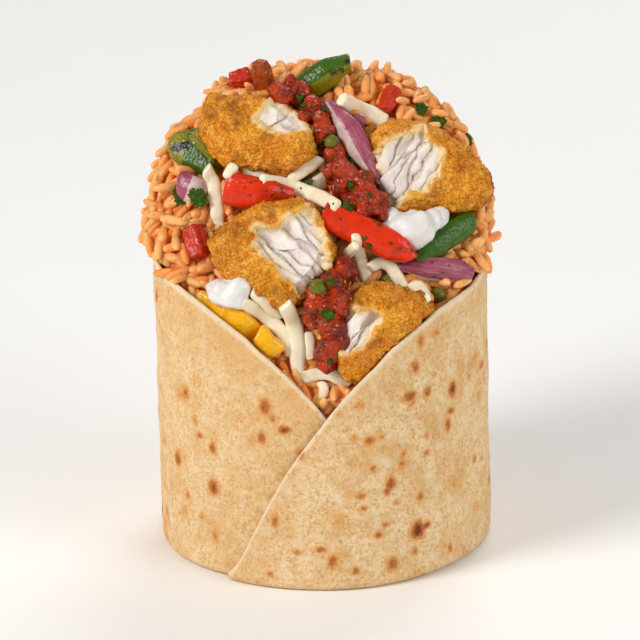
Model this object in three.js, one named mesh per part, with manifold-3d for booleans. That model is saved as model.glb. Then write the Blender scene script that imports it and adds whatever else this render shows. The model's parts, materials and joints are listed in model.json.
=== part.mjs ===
// A stuffed burrito standing on its tucked end, open at the top.
// Units are millimetres. X runs right, Y away from the front, Z up from the table.
import * as THREE from 'three';
import ManifoldModule from 'manifold-3d';

const wasm = await ManifoldModule();
wasm.setup();

// Wrap
const WRAP_RADIUS = 42;
const SHEET = 1.9;
const FLOOR = 4;
const TUCK = 3;
const FLAP_PROUD = 0.4;
const INNER_DIP = 1.7;
const FLAP_FROM = -36;
const SHEET_TO = 396;
const COLUMN_STEP = 9;
const GAP = 0.3;

// Slight waves of the sheet round the wrap: count, height and start
const SHEET_WAVES = [[2, 0.3, 0.7], [5, 0.15, 0]];

// Height of the sheet's own top edge at turns round the wrap, in degrees from the front.
// The sheet starts as the outer flap at the front left, runs right and round the back,
// and ends under the flap.
const SHEET_EDGE = [
  [-36, 0.6], [-27, 12], [-18, 25.5], [-9, 36.3], [0, 45], [9, 53], [27, 64.5], [45, 70], [77, 72.5],
  [90, 76], [180, 88], [270, 77], [298, 75], [313, 72], [330, 66], [345, 58], [360, 47], [396, 6],
];

// Filling
const HEAP_CREST = 115;
const CREST_BACK = 15;
const HEAP_FOOT = 48;
const FRONT_FALL = 1.3;
const BACK_FALL = 6;
const SIDE_FALL = 7;
const HEAP_SQUARE = 7;
const HEAP_FRONT_RADIUS = 38;
const HEAP_SIDE_RADIUS = 41.6;
const HEAP_COLUMNS = 40;
const HEAP_RINGS = [0.98, 0.92, 0.83, 0.68, 0.5, 0.25];
const BRIM = { front: -4, side: 2 };
const SHOULDER = { front: -6, side: 0.6 };
const SIDE_FROM = 35;
const SIDE_TO = 75;
const SLOPE_STEP = 1.5;
const SLOPE_REACH = 0.93;

// Rice
const GRAIN_LENGTH = 7.2;
const GRAIN_WIDTH = 2.5;
const GRAIN_BODY = 0.5;
const GRAIN_SIDES = 5;
const GRAIN_TRIES = 190;
const GRAIN_LIFT = 0.35;
const GRAIN_TIP = { least: 0.1, range: 0.5 };
const FLANK_GRAINS = 0.45;
const FLANK_RISE = { least: 0.04, range: 0.7 };
const DOME_REACH = 0.88;
const GOLDEN_TURN = 137.508;
const GRAIN_SEED = 41;

// The front view that places the toppings: each lies where it shows from there,
// by millimetres across and up from the middle of the foot.
const VIEW_RISE = THREE.MathUtils.degToRad(20.4);
const VIEW_AWAY = 1500;
const VIEW_CENTRE = [-0.3, 52.9];
const ACROSS = new THREE.Vector3(1, 0, 0);
const UPWARD = new THREE.Vector3(0, Math.sin(VIEW_RISE), Math.cos(VIEW_RISE));
const TO_EYE = new THREE.Vector3(0, -Math.cos(VIEW_RISE), Math.sin(VIEW_RISE));

// Number of sides and rings that shape each kind of piece
const SLAB_SIDES = 17;
const SLAB_FRONT = [[1, 0], [0.94, 0.62], [0.76, 0.93], [0.5, 1], [0.25, 1]];
const SLAB_BACK = [[0.75, 0.9]];
const CORNER_ROUNDING = 0.35;
const CRAG_SIZES = { face: 11, edge: 7 };
const STRIP_SIDES = 6;
const SHRED_SIDES = 4;
const CORNER_ROOM = 1.1;
const CAP_BULGE = 0.08;
const BLOB_SIDES = 6;
const BLOB_RINGS = 4;
const LEAF_LOBES = 4;
const LEAF_NOTCH = 0.62;
const LEAF_WAVE = 0.5;
const LEAF_THICK = 0.7;
const LEAF_LIFT = 1.4;

const COLOURS = {
  tortilla: 0xe8cf9f,
  rice: 0xe8a860,
  fish: 0xc98a3c,
  green: 0x3f6b24,
  red: 0xd8301c,
  yellow: 0xf5b81e,
  onion: 0x8c4a78,
  salsa: 0xc0341f,
  cream: 0xfbf8f2,
  cheese: 0xf2e3bd,
  olive: 0x6f6a28,
  herb: 0x2f5a24,
};

// Small mathematics

function smoothStep(from, to, value) {
  return THREE.MathUtils.smoothstep(value, from, to);
}

function alongTable(table, value) {
  if (value <= table[0][0]) {
    return table[0][1];
  }
  const next = table.findIndex((entry) => entry[0] > value);
  if (next < 0) {
    return table[table.length - 1][1];
  }
  const [from, low] = table[next - 1];
  const [to, high] = table[next];
  return low + (high - low) * (value - from) / (to - from);
}

function seededRandom(seed) {
  let state = seed;
  return () => {
    state = (state * 1664525 + 1013904223) % 4294967296;
    return state / 4294967296;
  };
}

function roughness(point, wave) {
  const a = Math.sin(point.x * 6.1 / wave + 1.3) * Math.sin(point.y * 5.3 / wave + 0.4);
  const b = Math.sin(point.z * 5.7 / wave + 2.1) * Math.cos(point.x * 4.3 / wave - point.z * 2.2 / wave);
  return (a + b) / 2;
}

// Solids from rings of points

function outward(points, triangles) {
  let volume = 0;
  for (const [a, b, c] of triangles) {
    volume += points[a].dot(points[b].clone().cross(points[c]));
  }
  const turned = volume < 0 ? triangles.map(([a, b, c]) => [a, c, b]) : triangles;
  const mesh = new wasm.Mesh({
    numProp: 3,
    vertProperties: new Float32Array(points.flatMap((point) => point.toArray())),
    triVerts: new Uint32Array(turned.flat()),
  });
  return new wasm.Manifold(mesh);
}

function joinLoops(triangles, first, firstCount, second, secondCount) {
  const count = Math.max(firstCount, secondCount);
  for (let side = 0; side < count; side += 1) {
    const next = (side + 1) % count;
    if (firstCount > 1) {
      triangles.push([first + side, first + next, second + (secondCount > 1 ? side : 0)]);
    }
    if (secondCount > 1) {
      triangles.push([first + (firstCount > 1 ? next : 0), second + next, second + side]);
    }
  }
}

// A closed solid through rings of equal count, with one point at each end.
function skinned(rings) {
  const points = [];
  const triangles = [];
  const starts = rings.map((ring) => {
    points.push(...ring);
    return points.length - ring.length;
  });
  for (let k = 0; k + 1 < rings.length; k += 1) {
    joinLoops(triangles, starts[k], rings[k].length, starts[k + 1], rings[k + 1].length);
  }
  return outward(points, triangles);
}

function polar(radius, degrees, height) {
  const angle = THREE.MathUtils.degToRad(degrees);
  return new THREE.Vector3(radius * Math.sin(angle), -radius * Math.cos(angle), height);
}

function bodiesOf(shape) {
  return shape.decompose().map((body) => {
    const mesh = body.getMesh();
    return { body, mesh, volume: meshVolume(mesh) };
  });
}

function meshVolume(mesh) {
  const corner = (index) => new THREE.Vector3().fromArray(mesh.vertProperties, index * mesh.numProp);
  let volume = 0;
  for (let k = 0; k < mesh.triVerts.length; k += 3) {
    const [a, b, c] = [0, 1, 2].map((step) => corner(mesh.triVerts[k + step]));
    volume += a.dot(b.cross(c)) / 6;
  }
  return volume;
}

function largestBody(shape) {
  const bodies = bodiesOf(shape).sort((one, other) => other.volume - one.volume);
  return bodies[0].body;
}

function geometryOf(shape) {
  const mesh = shape.getMesh();
  const geometry = new THREE.BufferGeometry();
  geometry.setAttribute('position', new THREE.BufferAttribute(mesh.vertProperties, 3));
  geometry.setIndex(new THREE.BufferAttribute(mesh.triVerts, 1));
  return geometry;
}

// Wrap

function sheetOutside(turn) {
  const flap = FLAP_PROUD * (1 - smoothStep(0, 45, turn));
  const inner = INNER_DIP * smoothStep(290, 325, turn);
  const angle = THREE.MathUtils.degToRad(turn);
  const waves = SHEET_WAVES.map(([count, high, start]) => high * Math.sin(count * angle + start));
  return WRAP_RADIUS + flap - inner + waves.reduce((sum, wave) => sum + wave);
}

function tuckIn(height) {
  const left = Math.max(0, 1 - height / TUCK);
  return TUCK * (1 - Math.sqrt(1 - left * left));
}

function sheetColumn(turn, grow) {
  const edge = Math.max(alongTable(SHEET_EDGE, turn), 1.2) + grow;
  const body = edge - SHEET / 2 * Math.min(1, edge / (2 * SHEET));
  const outside = sheetOutside(turn) + grow;
  const inside = sheetOutside(turn) - SHEET - grow;
  const shoulder = 1 - Math.SQRT1_2;
  const low = Math.min(1, body / (2 * TUCK));
  const heights = [0, TUCK / 4 * low, TUCK * low, body];
  const outer = heights.map((height) => polar(outside - tuckIn(height), turn, height));
  const inner = heights.map((height) => polar(inside - tuckIn(height), turn, height)).reverse();
  const half = (outside - inside) / 2;
  const rim = [
    polar(outside - half * shoulder, turn, body + (edge - body) * Math.SQRT1_2),
    polar((outside + inside) / 2, turn, edge),
    polar(inside + half * shoulder, turn, body + (edge - body) * Math.SQRT1_2),
  ];
  return [...outer, ...rim, ...inner];
}

function sheet(grow) {
  const columns = [];
  for (let turn = FLAP_FROM; turn <= SHEET_TO + 0.01; turn += COLUMN_STEP) {
    columns.push(sheetColumn(turn, grow));
  }
  const count = columns[0].length;
  const triangles = [];
  for (let k = 0; k + 1 < columns.length; k += 1) {
    joinLoops(triangles, k * count, count, (k + 1) * count, count);
  }
  const last = (columns.length - 1) * count;
  for (let k = 0; k < (count - 1) / 2; k += 1) {
    const [a, b, c, d] = [k, k + 1, count - 2 - k, count - 1 - k];
    triangles.push([d, b, a], [last + a, last + b, last + d]);
    if (b !== c) {
      triangles.push([d, c, b], [last + b, last + c, last + d]);
    }
  }
  return outward(columns.flat(), triangles);
}

// The floor ends inside the sheet, and under the lap inside the outer layer.
function floorRadius(turn) {
  const underLap = turn > 360 + FLAP_FROM;
  return underLap ? sheetOutside(turn - 360) - SHEET * 0.75 : sheetOutside(turn) - SHEET / 2;
}

function floorDisc() {
  const turns = [];
  for (let turn = 360 + FLAP_FROM; turn > FLAP_FROM + 1; turn -= COLUMN_STEP) {
    turns.push(turn > SHEET_TO - 360 ? turn : turn + 360);
  }
  const ring = (height) => turns.map((turn) => polar(floorRadius(turn) - tuckIn(height), turn, height));
  const heights = [0, TUCK / 4, FLOOR];
  return skinned([[polar(0, 0, 0)], ...heights.map(ring), [polar(0, 0, FLOOR)]]);
}

// Filling core

function innerTurn(degrees) {
  return degrees <= SHEET_TO - 360 + COLUMN_STEP ? degrees + 360 : degrees;
}

function rimHeight(degrees) {
  const lap = degrees < 0 ? degrees + 360 : degrees;
  return alongTable(SHEET_EDGE, lap);
}

// How far a direction is from the low front, from 0 there to 1 at the sides and back.
function sideShare(degrees) {
  return smoothStep(SIDE_FROM, SIDE_TO, Math.abs(degrees));
}

function fromFrontToSide({ front, side }, degrees) {
  return THREE.MathUtils.lerp(front, side, sideShare(degrees));
}

function heapRadius(degrees) {
  return fromFrontToSide({ front: HEAP_FRONT_RADIUS, side: HEAP_SIDE_RADIUS }, degrees);
}

function heapHeight(x, y) {
  const degrees = THREE.MathUtils.radToDeg(Math.atan2(x, -y));
  const edge = rimHeight(degrees) + fromFrontToSide(BRIM, degrees);
  const before = Math.max(0, CREST_BACK - y) / (CREST_BACK + HEAP_FRONT_RADIUS);
  const behind = Math.max(0, y - CREST_BACK) / (HEAP_SIDE_RADIUS - CREST_BACK);
  const fall = (HEAP_CREST - HEAP_FOOT) * before ** FRONT_FALL + BACK_FALL * behind ** 2;
  const top = HEAP_CREST - fall - SIDE_FALL * (x / HEAP_FRONT_RADIUS) ** 2;
  const out = Math.min(1, Math.hypot(x, y) / heapRadius(degrees));
  return edge + (top - edge) * Math.sqrt(1 - out ** HEAP_SQUARE);
}

function heapNormal(x, y) {
  const widest = SLOPE_REACH * heapRadius(THREE.MathUtils.radToDeg(Math.atan2(x, -y)));
  const reach = Math.min(1, widest / Math.hypot(x, y));
  const [px, py] = [x * reach, y * reach];
  const slopeX = (heapHeight(px + SLOPE_STEP, py) - heapHeight(px - SLOPE_STEP, py)) / (2 * SLOPE_STEP);
  const slopeY = (heapHeight(px, py + SLOPE_STEP) - heapHeight(px, py - SLOPE_STEP)) / (2 * SLOPE_STEP);
  return new THREE.Vector3(-slopeX, -slopeY, 1).normalize();
}

function heapCore(grow) {
  const directions = [];
  for (let k = 0; k < HEAP_COLUMNS; k += 1) {
    directions.push(k * 360 / HEAP_COLUMNS - 180);
  }
  const wallRadius = (degrees) => sheetOutside(innerTurn(degrees)) - SHEET - GAP;
  const wall = (height) => directions.map((degrees) => polar(wallRadius(degrees) + grow, degrees, height));
  const shoulder = directions.map((degrees) => {
    const radius = Math.min(wallRadius(degrees), heapRadius(degrees)) + grow;
    return polar(radius, degrees, rimHeight(degrees) + fromFrontToSide(SHOULDER, degrees));
  });
  const dome = HEAP_RINGS.map((share) => directions.map((degrees) => {
    const foot = polar(heapRadius(degrees) * share, degrees, 0);
    foot.z = heapHeight(foot.x, foot.y);
    return foot.addScaledVector(heapNormal(foot.x, foot.y), grow);
  }));
  const brim = directions.map((degrees) => {
    return polar(heapRadius(degrees) + grow, degrees, rimHeight(degrees) + fromFrontToSide(BRIM, degrees));
  });
  const bottom = FLOOR + GAP;
  const rings = [wall(bottom), wall(HEAP_FOOT / 2), shoulder, brim, ...dome];
  return skinned([[polar(0, 0, bottom)], ...rings, [polar(0, 0, heapHeight(0, 0) + grow)]]);
}

// Places of the toppings

function sightLine([across, up]) {
  const centre = ACROSS.clone().multiplyScalar(VIEW_CENTRE[0]).addScaledVector(UPWARD, VIEW_CENTRE[1]);
  const eye = centre.addScaledVector(TO_EYE, VIEW_AWAY);
  const target = ACROSS.clone().multiplyScalar(across).addScaledVector(UPWARD, up);
  return new THREE.Ray(eye, target.sub(eye).normalize());
}

// The point of the bare heap seen at a place of the front view, or the nearest one to it.
const SEARCH = { nearer: 90, farther: 60, step: 0.25, sideWeight: 3 };

function onHeap(place) {
  const ray = sightLine(place);
  const point = new THREE.Vector3();
  let nearest = null;
  let least = Infinity;
  for (let away = VIEW_AWAY - SEARCH.nearer; away < VIEW_AWAY + SEARCH.farther; away += SEARCH.step) {
    ray.at(away, point);
    const beyond = Math.hypot(point.x, point.y) - HEAP_SIDE_RADIUS;
    const clear = Math.max(point.z - heapHeight(point.x, point.y), beyond * SEARCH.sideWeight);
    if (clear < least) {
      least = clear;
      nearest = point.clone();
    }
    if (clear <= 0) {
      break;
    }
  }
  return nearest;
}

// The point that shows at a place of the front view when it stands at a given Y.
function standing(away) {
  return (place) => {
    const plane = new THREE.Plane(new THREE.Vector3(0, 1, 0), -away);
    return sightLine(place).intersectPlane(plane, new THREE.Vector3());
  };
}

const laid = [];

// The point seen at a place of the front view on whatever already lies there.
function onTop(place) {
  const rest = onHeap(place);
  const ray = sightLine(place);
  const caster = new THREE.Raycaster(ray.origin, ray.direction);
  const hits = caster.intersectObjects(laid.map((piece) => piece.mesh), false);
  if (hits.length && hits[0].distance < ray.origin.distanceTo(rest)) {
    return hits[0].point;
  }
  return rest;
}

function middleOf(loop) {
  return loop.reduce((sum, point) => sum.add(point), new THREE.Vector3()).divideScalar(loop.length);
}

function facing(point, turnToEye) {
  return heapNormal(point.x, point.y).lerp(TO_EYE, turnToEye).normalize();
}

// How far small pieces turn from the heap's own slope towards the front
const STRIP_TURN = 0.4;
const LEAF_TURN = 0.6;

// Kinds of pieces. Each returns a function from an extra size to a solid.

// A chunk with the outline given in the front view: front and back are its reach
// out of and into the heap from its middle plane, which stands off the heap by lift.
function slab({ outline, lift, front, back, rough = 0, flakes = null, turnToEye = 0.5, sides = SLAB_SIDES,
  frontRings = SLAB_FRONT }) {
  const middle = [0, 1].map((axis) => outline.reduce((sum, place) => sum + place[axis], 0) / outline.length);
  const seat = onHeap(middle);
  const normal = facing(seat, turnToEye);
  seat.addScaledVector(normal, lift);
  const plane = new THREE.Plane().setFromNormalAndCoplanarPoint(normal, seat);
  const corners = outline.map((place) => sightLine(place).intersectPlane(plane, new THREE.Vector3()));
  const curve = new THREE.CatmullRomCurve3(corners, true, 'catmullrom', CORNER_ROUNDING);
  const edge = curve.getSpacedPoints(sides).slice(0, sides);
  return (grow) => {
    const centre = middleOf(edge);
    const ring = ([share, rise], depth) => edge.map((point) => {
      const out = point.clone().sub(centre);
      const away = out.clone().normalize();
      const placed = centre.clone().addScaledVector(out, share).addScaledVector(away, grow);
      const relief = flakes && depth > 0 ? flakes(placed, share) : 0;
      const crag = rise > 0 ? rough * roughness(placed, CRAG_SIZES.face) + relief : 0;
      return placed.addScaledVector(normal, rise * depth + Math.sign(depth) * grow + crag)
        .addScaledVector(away, rough * roughness(point, CRAG_SIZES.edge) * share);
    });
    const frontPole = centre.clone().addScaledVector(normal, front + grow);
    const backPole = centre.clone().addScaledVector(normal, -back - grow);
    const backRings = SLAB_BACK.map((step) => ring(step, -back));
    return skinned([[backPole], ...backRings, ...frontRings.map((step) => ring(step, front)), [frontPole]]);
  };
}

// A bent strip along places of the front view. The taper is the share of the width left
// at its two ends, and ease is the share of its length that narrows at each end.
function strip({ path, width, thick, lift = 0, taper = [0.8, 0.8], ease = 0.35, twist = [0, 0], stations = 5,
  sides = STRIP_SIDES, on = onTop }) {
  const seats = path.map((place) => {
    const point = on(place);
    return point.addScaledVector(facing(point, STRIP_TURN), lift + thick / 2);
  });
  const curve = new THREE.CatmullRomCurve3(seats, false, 'centripetal');
  const middles = curve.getSpacedPoints(stations - 1);
  return (grow) => {
    const rings = middles.map((point, k) => {
      const share = k / (stations - 1);
      const tangent = curve.getTangentAt(share);
      const face = facing(point, STRIP_TURN);
      face.addScaledVector(tangent, -face.dot(tangent)).normalize();
      face.applyAxisAngle(tangent, THREE.MathUtils.degToRad(THREE.MathUtils.lerp(twist[0], twist[1], share)));
      const side = tangent.clone().cross(face);
      const full = smoothStep(0, ease, Math.min(share, 1 - share));
      const scale = THREE.MathUtils.lerp(share < 0.5 ? taper[0] : taper[1], 1, full);
      const shift = (share === 0 ? -1 : 0) + (share === 1 ? 1 : 0);
      const loop = [];
      for (let corner = 0; corner < sides; corner += 1) {
        const angle = (corner + 0.5) * 2 * Math.PI / sides;
        const across = Math.cos(angle) * (width / 2 / Math.cos(Math.PI / sides) * scale + grow * CORNER_ROOM);
        const up = Math.sin(angle) * (thick / 2 * Math.sqrt(scale) + grow * CORNER_ROOM) * CORNER_ROOM;
        loop.push(point.clone().addScaledVector(side, across).addScaledVector(face, up)
          .addScaledVector(tangent, shift * grow));
      }
      return loop;
    });
    const cap = (loop, away) => [middleOf(loop).addScaledVector(away, width * CAP_BULGE)];
    const start = cap(rings[0], curve.getTangentAt(0).negate());
    const end = cap(rings[rings.length - 1], curve.getTangentAt(1));
    return skinned([start, ...rings, end]);
  };
}

function ball(centre, face, width, depth, grow) {
  const side = new THREE.Vector3(1, 0, 0.13).cross(face).normalize();
  const other = face.clone().cross(side);
  const rings = [];
  for (let row = 1; row < BLOB_RINGS; row += 1) {
    const tilt = row * Math.PI / BLOB_RINGS;
    const loop = [];
    for (let corner = 0; corner < BLOB_SIDES; corner += 1) {
      const angle = corner * 2 * Math.PI / BLOB_SIDES;
      const out = (width / 2 + grow) * Math.sin(tilt);
      loop.push(centre.clone().addScaledVector(side, out * Math.cos(angle))
        .addScaledVector(other, out * Math.sin(angle))
        .addScaledVector(face, -(depth / 2 + grow) * Math.cos(tilt)));
    }
    rings.push(loop);
  }
  const pole = (sign) => [centre.clone().addScaledVector(face, sign * (depth / 2 + grow))];
  return skinned([pole(-1), ...rings, pole(1)]);
}

// Lumps joined to one mass. Each is given by its place, width, depth and stand-off.
function lumps(list, on = onTop) {
  const seats = list.map(([across, up, width, depth, lift]) => {
    const point = on([across, up]);
    const face = facing(point, STRIP_TURN);
    point.addScaledVector(face, lift);
    return { point, face, width, depth };
  });
  return (grow) => seats.map((seat) => ball(seat.point, seat.face, seat.width, seat.depth, grow))
    .reduce((whole, lump) => whole.add(lump));
}

// A lobed leaf, thin and wavy, with both faces split alike.
function leaf({ place, size, turn, lift = LEAF_LIFT }) {
  const centre = onTop(place);
  const face = facing(centre, LEAF_TURN);
  centre.addScaledVector(face, lift);
  const side = new THREE.Vector3(1, 0, 0).cross(face).normalize();
  const other = face.clone().cross(side);
  return (grow) => {
    const ring = (rise) => {
      const loop = [];
      for (let k = 0; k < LEAF_LOBES * 2; k += 1) {
        const angle = THREE.MathUtils.degToRad(turn) + k * Math.PI / LEAF_LOBES;
        const reach = size / 2 * [1, LEAF_NOTCH][k % 2] + grow;
        const wave = LEAF_WAVE * Math.sin(2 * angle + 1);
        loop.push(centre.clone().addScaledVector(side, reach * Math.cos(angle))
          .addScaledVector(other, reach * Math.sin(angle)).addScaledVector(face, rise + wave));
      }
      return loop;
    };
    const half = LEAF_THICK / 2 + grow;
    const pole = (rise) => [centre.clone().addScaledVector(face, rise)];
    return skinned([pole(-half), ring(-half), ring(half), pole(half)]);
  };
}

// Putting the food together

const tortilla = largestBody(sheet(0).add(floorDisc()));
const tortillaClear = sheet(GAP);
const coreClear = heapCore(GAP);

function boxOf(shape) {
  const geometry = geometryOf(shape);
  geometry.computeBoundingBox();
  return geometry.boundingBox;
}

function lay(name, colour, build) {
  let shape = build(0);
  const box = boxOf(shape);
  shape = shape.subtract(coreClear).subtract(tortillaClear);
  for (const piece of laid) {
    if (box.intersectsBox(piece.box)) {
      shape = shape.subtract(piece.clear);
    }
  }
  shape = largestBody(shape);
  const clear = build(GAP);
  const mesh = new THREE.Mesh(geometryOf(shape), new THREE.MeshBasicMaterial({ side: THREE.DoubleSide }));
  laid.push({ name, colour, shape, clear, box: boxOf(clear), mesh });
}

// Breaded fish, broken open so that the white flakes show

const OPENING = { inner: 4, outer: 9, sunk: 1.6, ledge: 1.4 };

function flakeRelief(open, slant, period) {
  const centre = onHeap(open);
  return (point, share) => {
    const along = (point.x - centre.x) * Math.cos(slant) + (point.z - centre.z) * Math.sin(slant);
    const away = Math.hypot(point.x - centre.x, point.z - centre.z);
    const near = 1 - smoothStep(OPENING.inner, OPENING.outer, away);
    const step = along / period - Math.floor(along / period);
    return near * (1 - share / 2) * (OPENING.ledge * step - OPENING.sunk);
  };
}

lay('fish_1', 'fish', slab({
  outline: [[-27, 110.5], [-29, 104], [-27.5, 95], [-20, 91.5], [-9, 89.5], [0, 94], [1, 98.5], [-5.5, 106],
    [-13, 109], [-20, 110]],
  lift: 3.5, front: 6.5, back: 8, rough: 0.8, flakes: flakeRelief([-9, 104], 1.2, 5), turnToEye: 0.35,
}));
lay('fish_2', 'fish', slab({
  outline: [[12.6, 99], [18.5, 102.5], [25, 103], [32.5, 99.5], [38.5, 95], [43.5, 88], [43.5, 82.5],
    [36.5, 78.5], [27.5, 79], [20.5, 79.5], [16, 84]],
  lift: 3, front: 7, back: 9, rough: 0.8, flakes: flakeRelief([23, 91], -0.7, 5.5),
}));
lay('fish_3', 'fish', slab({
  outline: [[-4, 84.5], [0.5, 80], [2.7, 74], [4.4, 67.5], [-1, 61.5], [-9.5, 54.5], [-15, 58.5], [-22.5, 63],
    [-27.5, 68], [-27.5, 74], [-22, 79.5], [-13, 82]],
  lift: 4, front: 7.5, back: 10, rough: 0.8, flakes: flakeRelief([-6, 71], 0.9, 5.5),
}));
lay('fish_4', 'fish', slab({
  outline: [[13, 62.5], [20.5, 60.5], [27, 58], [28.5, 54.5], [25, 50], [17.5, 43.5], [8.5, 36], [4, 40.5],
    [5, 50], [8, 59]],
  lift: 4, front: 6.5, back: 9, rough: 0.8, flakes: flakeRelief([10, 50], -0.6, 5),
}));

// Peppers, onions and dice

lay('pepper_green_1', 'green', strip({
  path: [[-5.5, 108.5], [-1, 112.6], [4.5, 116], [9.3, 118]], width: 7.6, thick: 5, lift: -2,
  taper: [0.6, 0.6], ease: 0.3, on: standing(13),
}));
lay('pepper_green_2', 'green', slab({
  outline: [[-38.5, 98.5], [-36.5, 101.5], [-31, 102.5], [-26.5, 102.8], [-25.5, 96], [-24.5, 91.2],
    [-27.5, 89.5], [-32, 92], [-37, 94.5]],
  lift: 1, front: 2.8, back: 4, turnToEye: 0.3, sides: 12, frontRings: [[1, 0], [0.8, 0.8]],
}));
lay('pepper_green_3', 'green', strip({
  path: [[24.6, 66.5], [30, 71.2], [35.5, 74.6], [40, 76.5]], width: 7.8, thick: 4, lift: 2.5,
  taper: [0.65, 0.6], ease: 0.25, on: onHeap,
}));
lay('pepper_red_2', 'red', strip({
  path: [[1, 79.6], [7, 76.8], [13, 74], [18.5, 71], [23.4, 67.4]], width: 7.6, thick: 4.5, lift: 5.5,
  taper: [0.9, 0.5], ease: 0.22, stations: 8, on: onHeap,
}));
lay('pepper_red_1', 'red', strip({
  path: [[-24, 87.4], [-19, 85.9], [-14, 84.3], [-7.2, 82.2]], width: 7.2, thick: 4.5, lift: 4,
  taper: [0.85, 0.6], ease: 0.18, stations: 6, on: onHeap,
}));
lay('pepper_yellow_1', 'yellow', strip({
  path: [[-31, 59], [-25, 56.5], [-20, 52], [-17, 49.5]], width: 6, thick: 4, lift: 1.5, taper: [0.5, 0.8],
  on: onHeap,
}));
lay('pepper_yellow_2', 'yellow', strip({
  path: [[-16, 49.5], [-14, 47], [-11, 44.5]], width: 5.5, thick: 4, lift: 1.5, stations: 5, on: onHeap,
}));
lay('onion_1', 'onion', strip({
  path: [[2, 108.6], [5.4, 105.6], [8.8, 101.1], [11.8, 96], [14.3, 90.6], [15.9, 86.2]], width: 5.6,
  thick: 2.8, lift: 5.5, taper: [0.45, 0.35], twist: [-10, 15], stations: 10, on: onHeap,
}));
lay('onion_2', 'onion', strip({
  path: [[19.5, 65.5], [26.5, 65.8], [33, 65], [40.5, 63]], width: 5.5, thick: 2.6, lift: 2.5,
  taper: [0.4, 0.35], stations: 8, on: onHeap,
}));
lay('onion_3', 'onion', strip({
  path: [[-36, 87], [-32, 88.5], [-29, 85]], width: 6, thick: 2.6, lift: 1.5, taper: [0.6, 0.6], stations: 5,
  on: onHeap,
}));
lay('onion_4', 'onion', strip({
  path: [[9.2, 102.9], [12, 102]], width: 3, thick: 3, lift: 1.5, stations: 4, on: onHeap,
}));

const DICE = { stations: 3, ease: 0.3, sides: 5 };
lay('tomato_1', 'salsa', strip({
  path: [[-21.5, 114.6], [-16.8, 115.6]], width: 5, thick: 4, lift: -2, ...DICE, taper: [0.7, 1],
  on: standing(17),
}));
lay('tomato_2', 'red', strip({
  path: [[-14.2, 118.6], [-12.8, 112]], width: 4.6, thick: 4, lift: -1, ...DICE, taper: [0.75, 1],
  on: standing(14),
}));
lay('tomato_3', 'salsa', strip({
  path: [[-32, 76.8], [-30.2, 69.5]], width: 5.2, thick: 3.5, lift: 0.5, ...DICE, taper: [0.75, 0.9],
  on: onHeap,
}));
lay('tomato_4', 'salsa', strip({
  path: [[17.4, 105.2], [19.8, 110.3]], width: 4, thick: 3.5, lift: 0.5, ...DICE, taper: [0.7, 0.9],
  on: onHeap,
}));

// Salsa between the fish, in three patches from the crest down

lay('salsa_1', 'salsa', lumps([
  [-9, 108.6, 6.5, 6, 6.5], [-6, 111, 5.5, 6, 4.5], [-3.5, 109, 6.5, 7, 5.5], [-1.3, 105, 7, 7, 5],
  [2.2, 104, 6, 7, 3.5], [1.4, 99.8, 6, 6, 3.5],
], onHeap));
lay('salsa_2', 'salsa', lumps([
  [4.5, 94.3, 7, 7, 3.5], [5.5, 89.5, 8, 8, 4], [6.8, 84.3, 7, 7, 4], [11, 86, 8, 7, 5],
  [14.5, 81.5, 8, 7, 5], [10.3, 80.7, 6.5, 6.5, 5.5],
], onHeap));
lay('salsa_3', 'salsa', lumps([
  [6, 65.5, 6.5, 7, 5], [3.2, 61.3, 8, 8, 6.5], [-1.2, 59, 6.5, 7, 7], [4.8, 56.5, 7, 8, 6],
  [-0.5, 54, 7, 7, 6], [2.8, 50.5, 7.5, 8, 5], [2.5, 45.5, 7, 7, 4.5], [1, 42.3, 6, 6, 3.5],
], onHeap));

// Cream

lay('cream_1', 'cream', lumps([
  [18.5, 76.8, 7, 7, 5], [23.5, 75.5, 9, 8, 5.5], [29.5, 77, 8, 7, 4.5],
], onHeap));
lay('cream_2', 'cream', lumps([
  [-25.8, 60.2, 7, 7, 4.5], [-20.6, 61.8, 7.5, 8, 5.5], [-21.6, 57.6, 6, 7, 4.5],
], onHeap));

// Olives and capers

lay('olive_1', 'olive', lumps([[3.8, 98, 4.2, 4.2, 1]]));
lay('olive_2', 'olive', lumps([[30, 58.3, 4.5, 4.5, 1.5]], onHeap));
lay('olive_3', 'olive', lumps([[17, 62.5, 3.6, 3.6, 0.5]]));
lay('olive_4', 'olive', lumps([[-0.6, 61.3, 4.6, 2.6, 0.8]]));

// Cheese shreds, laid from the lowest to the highest

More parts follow.
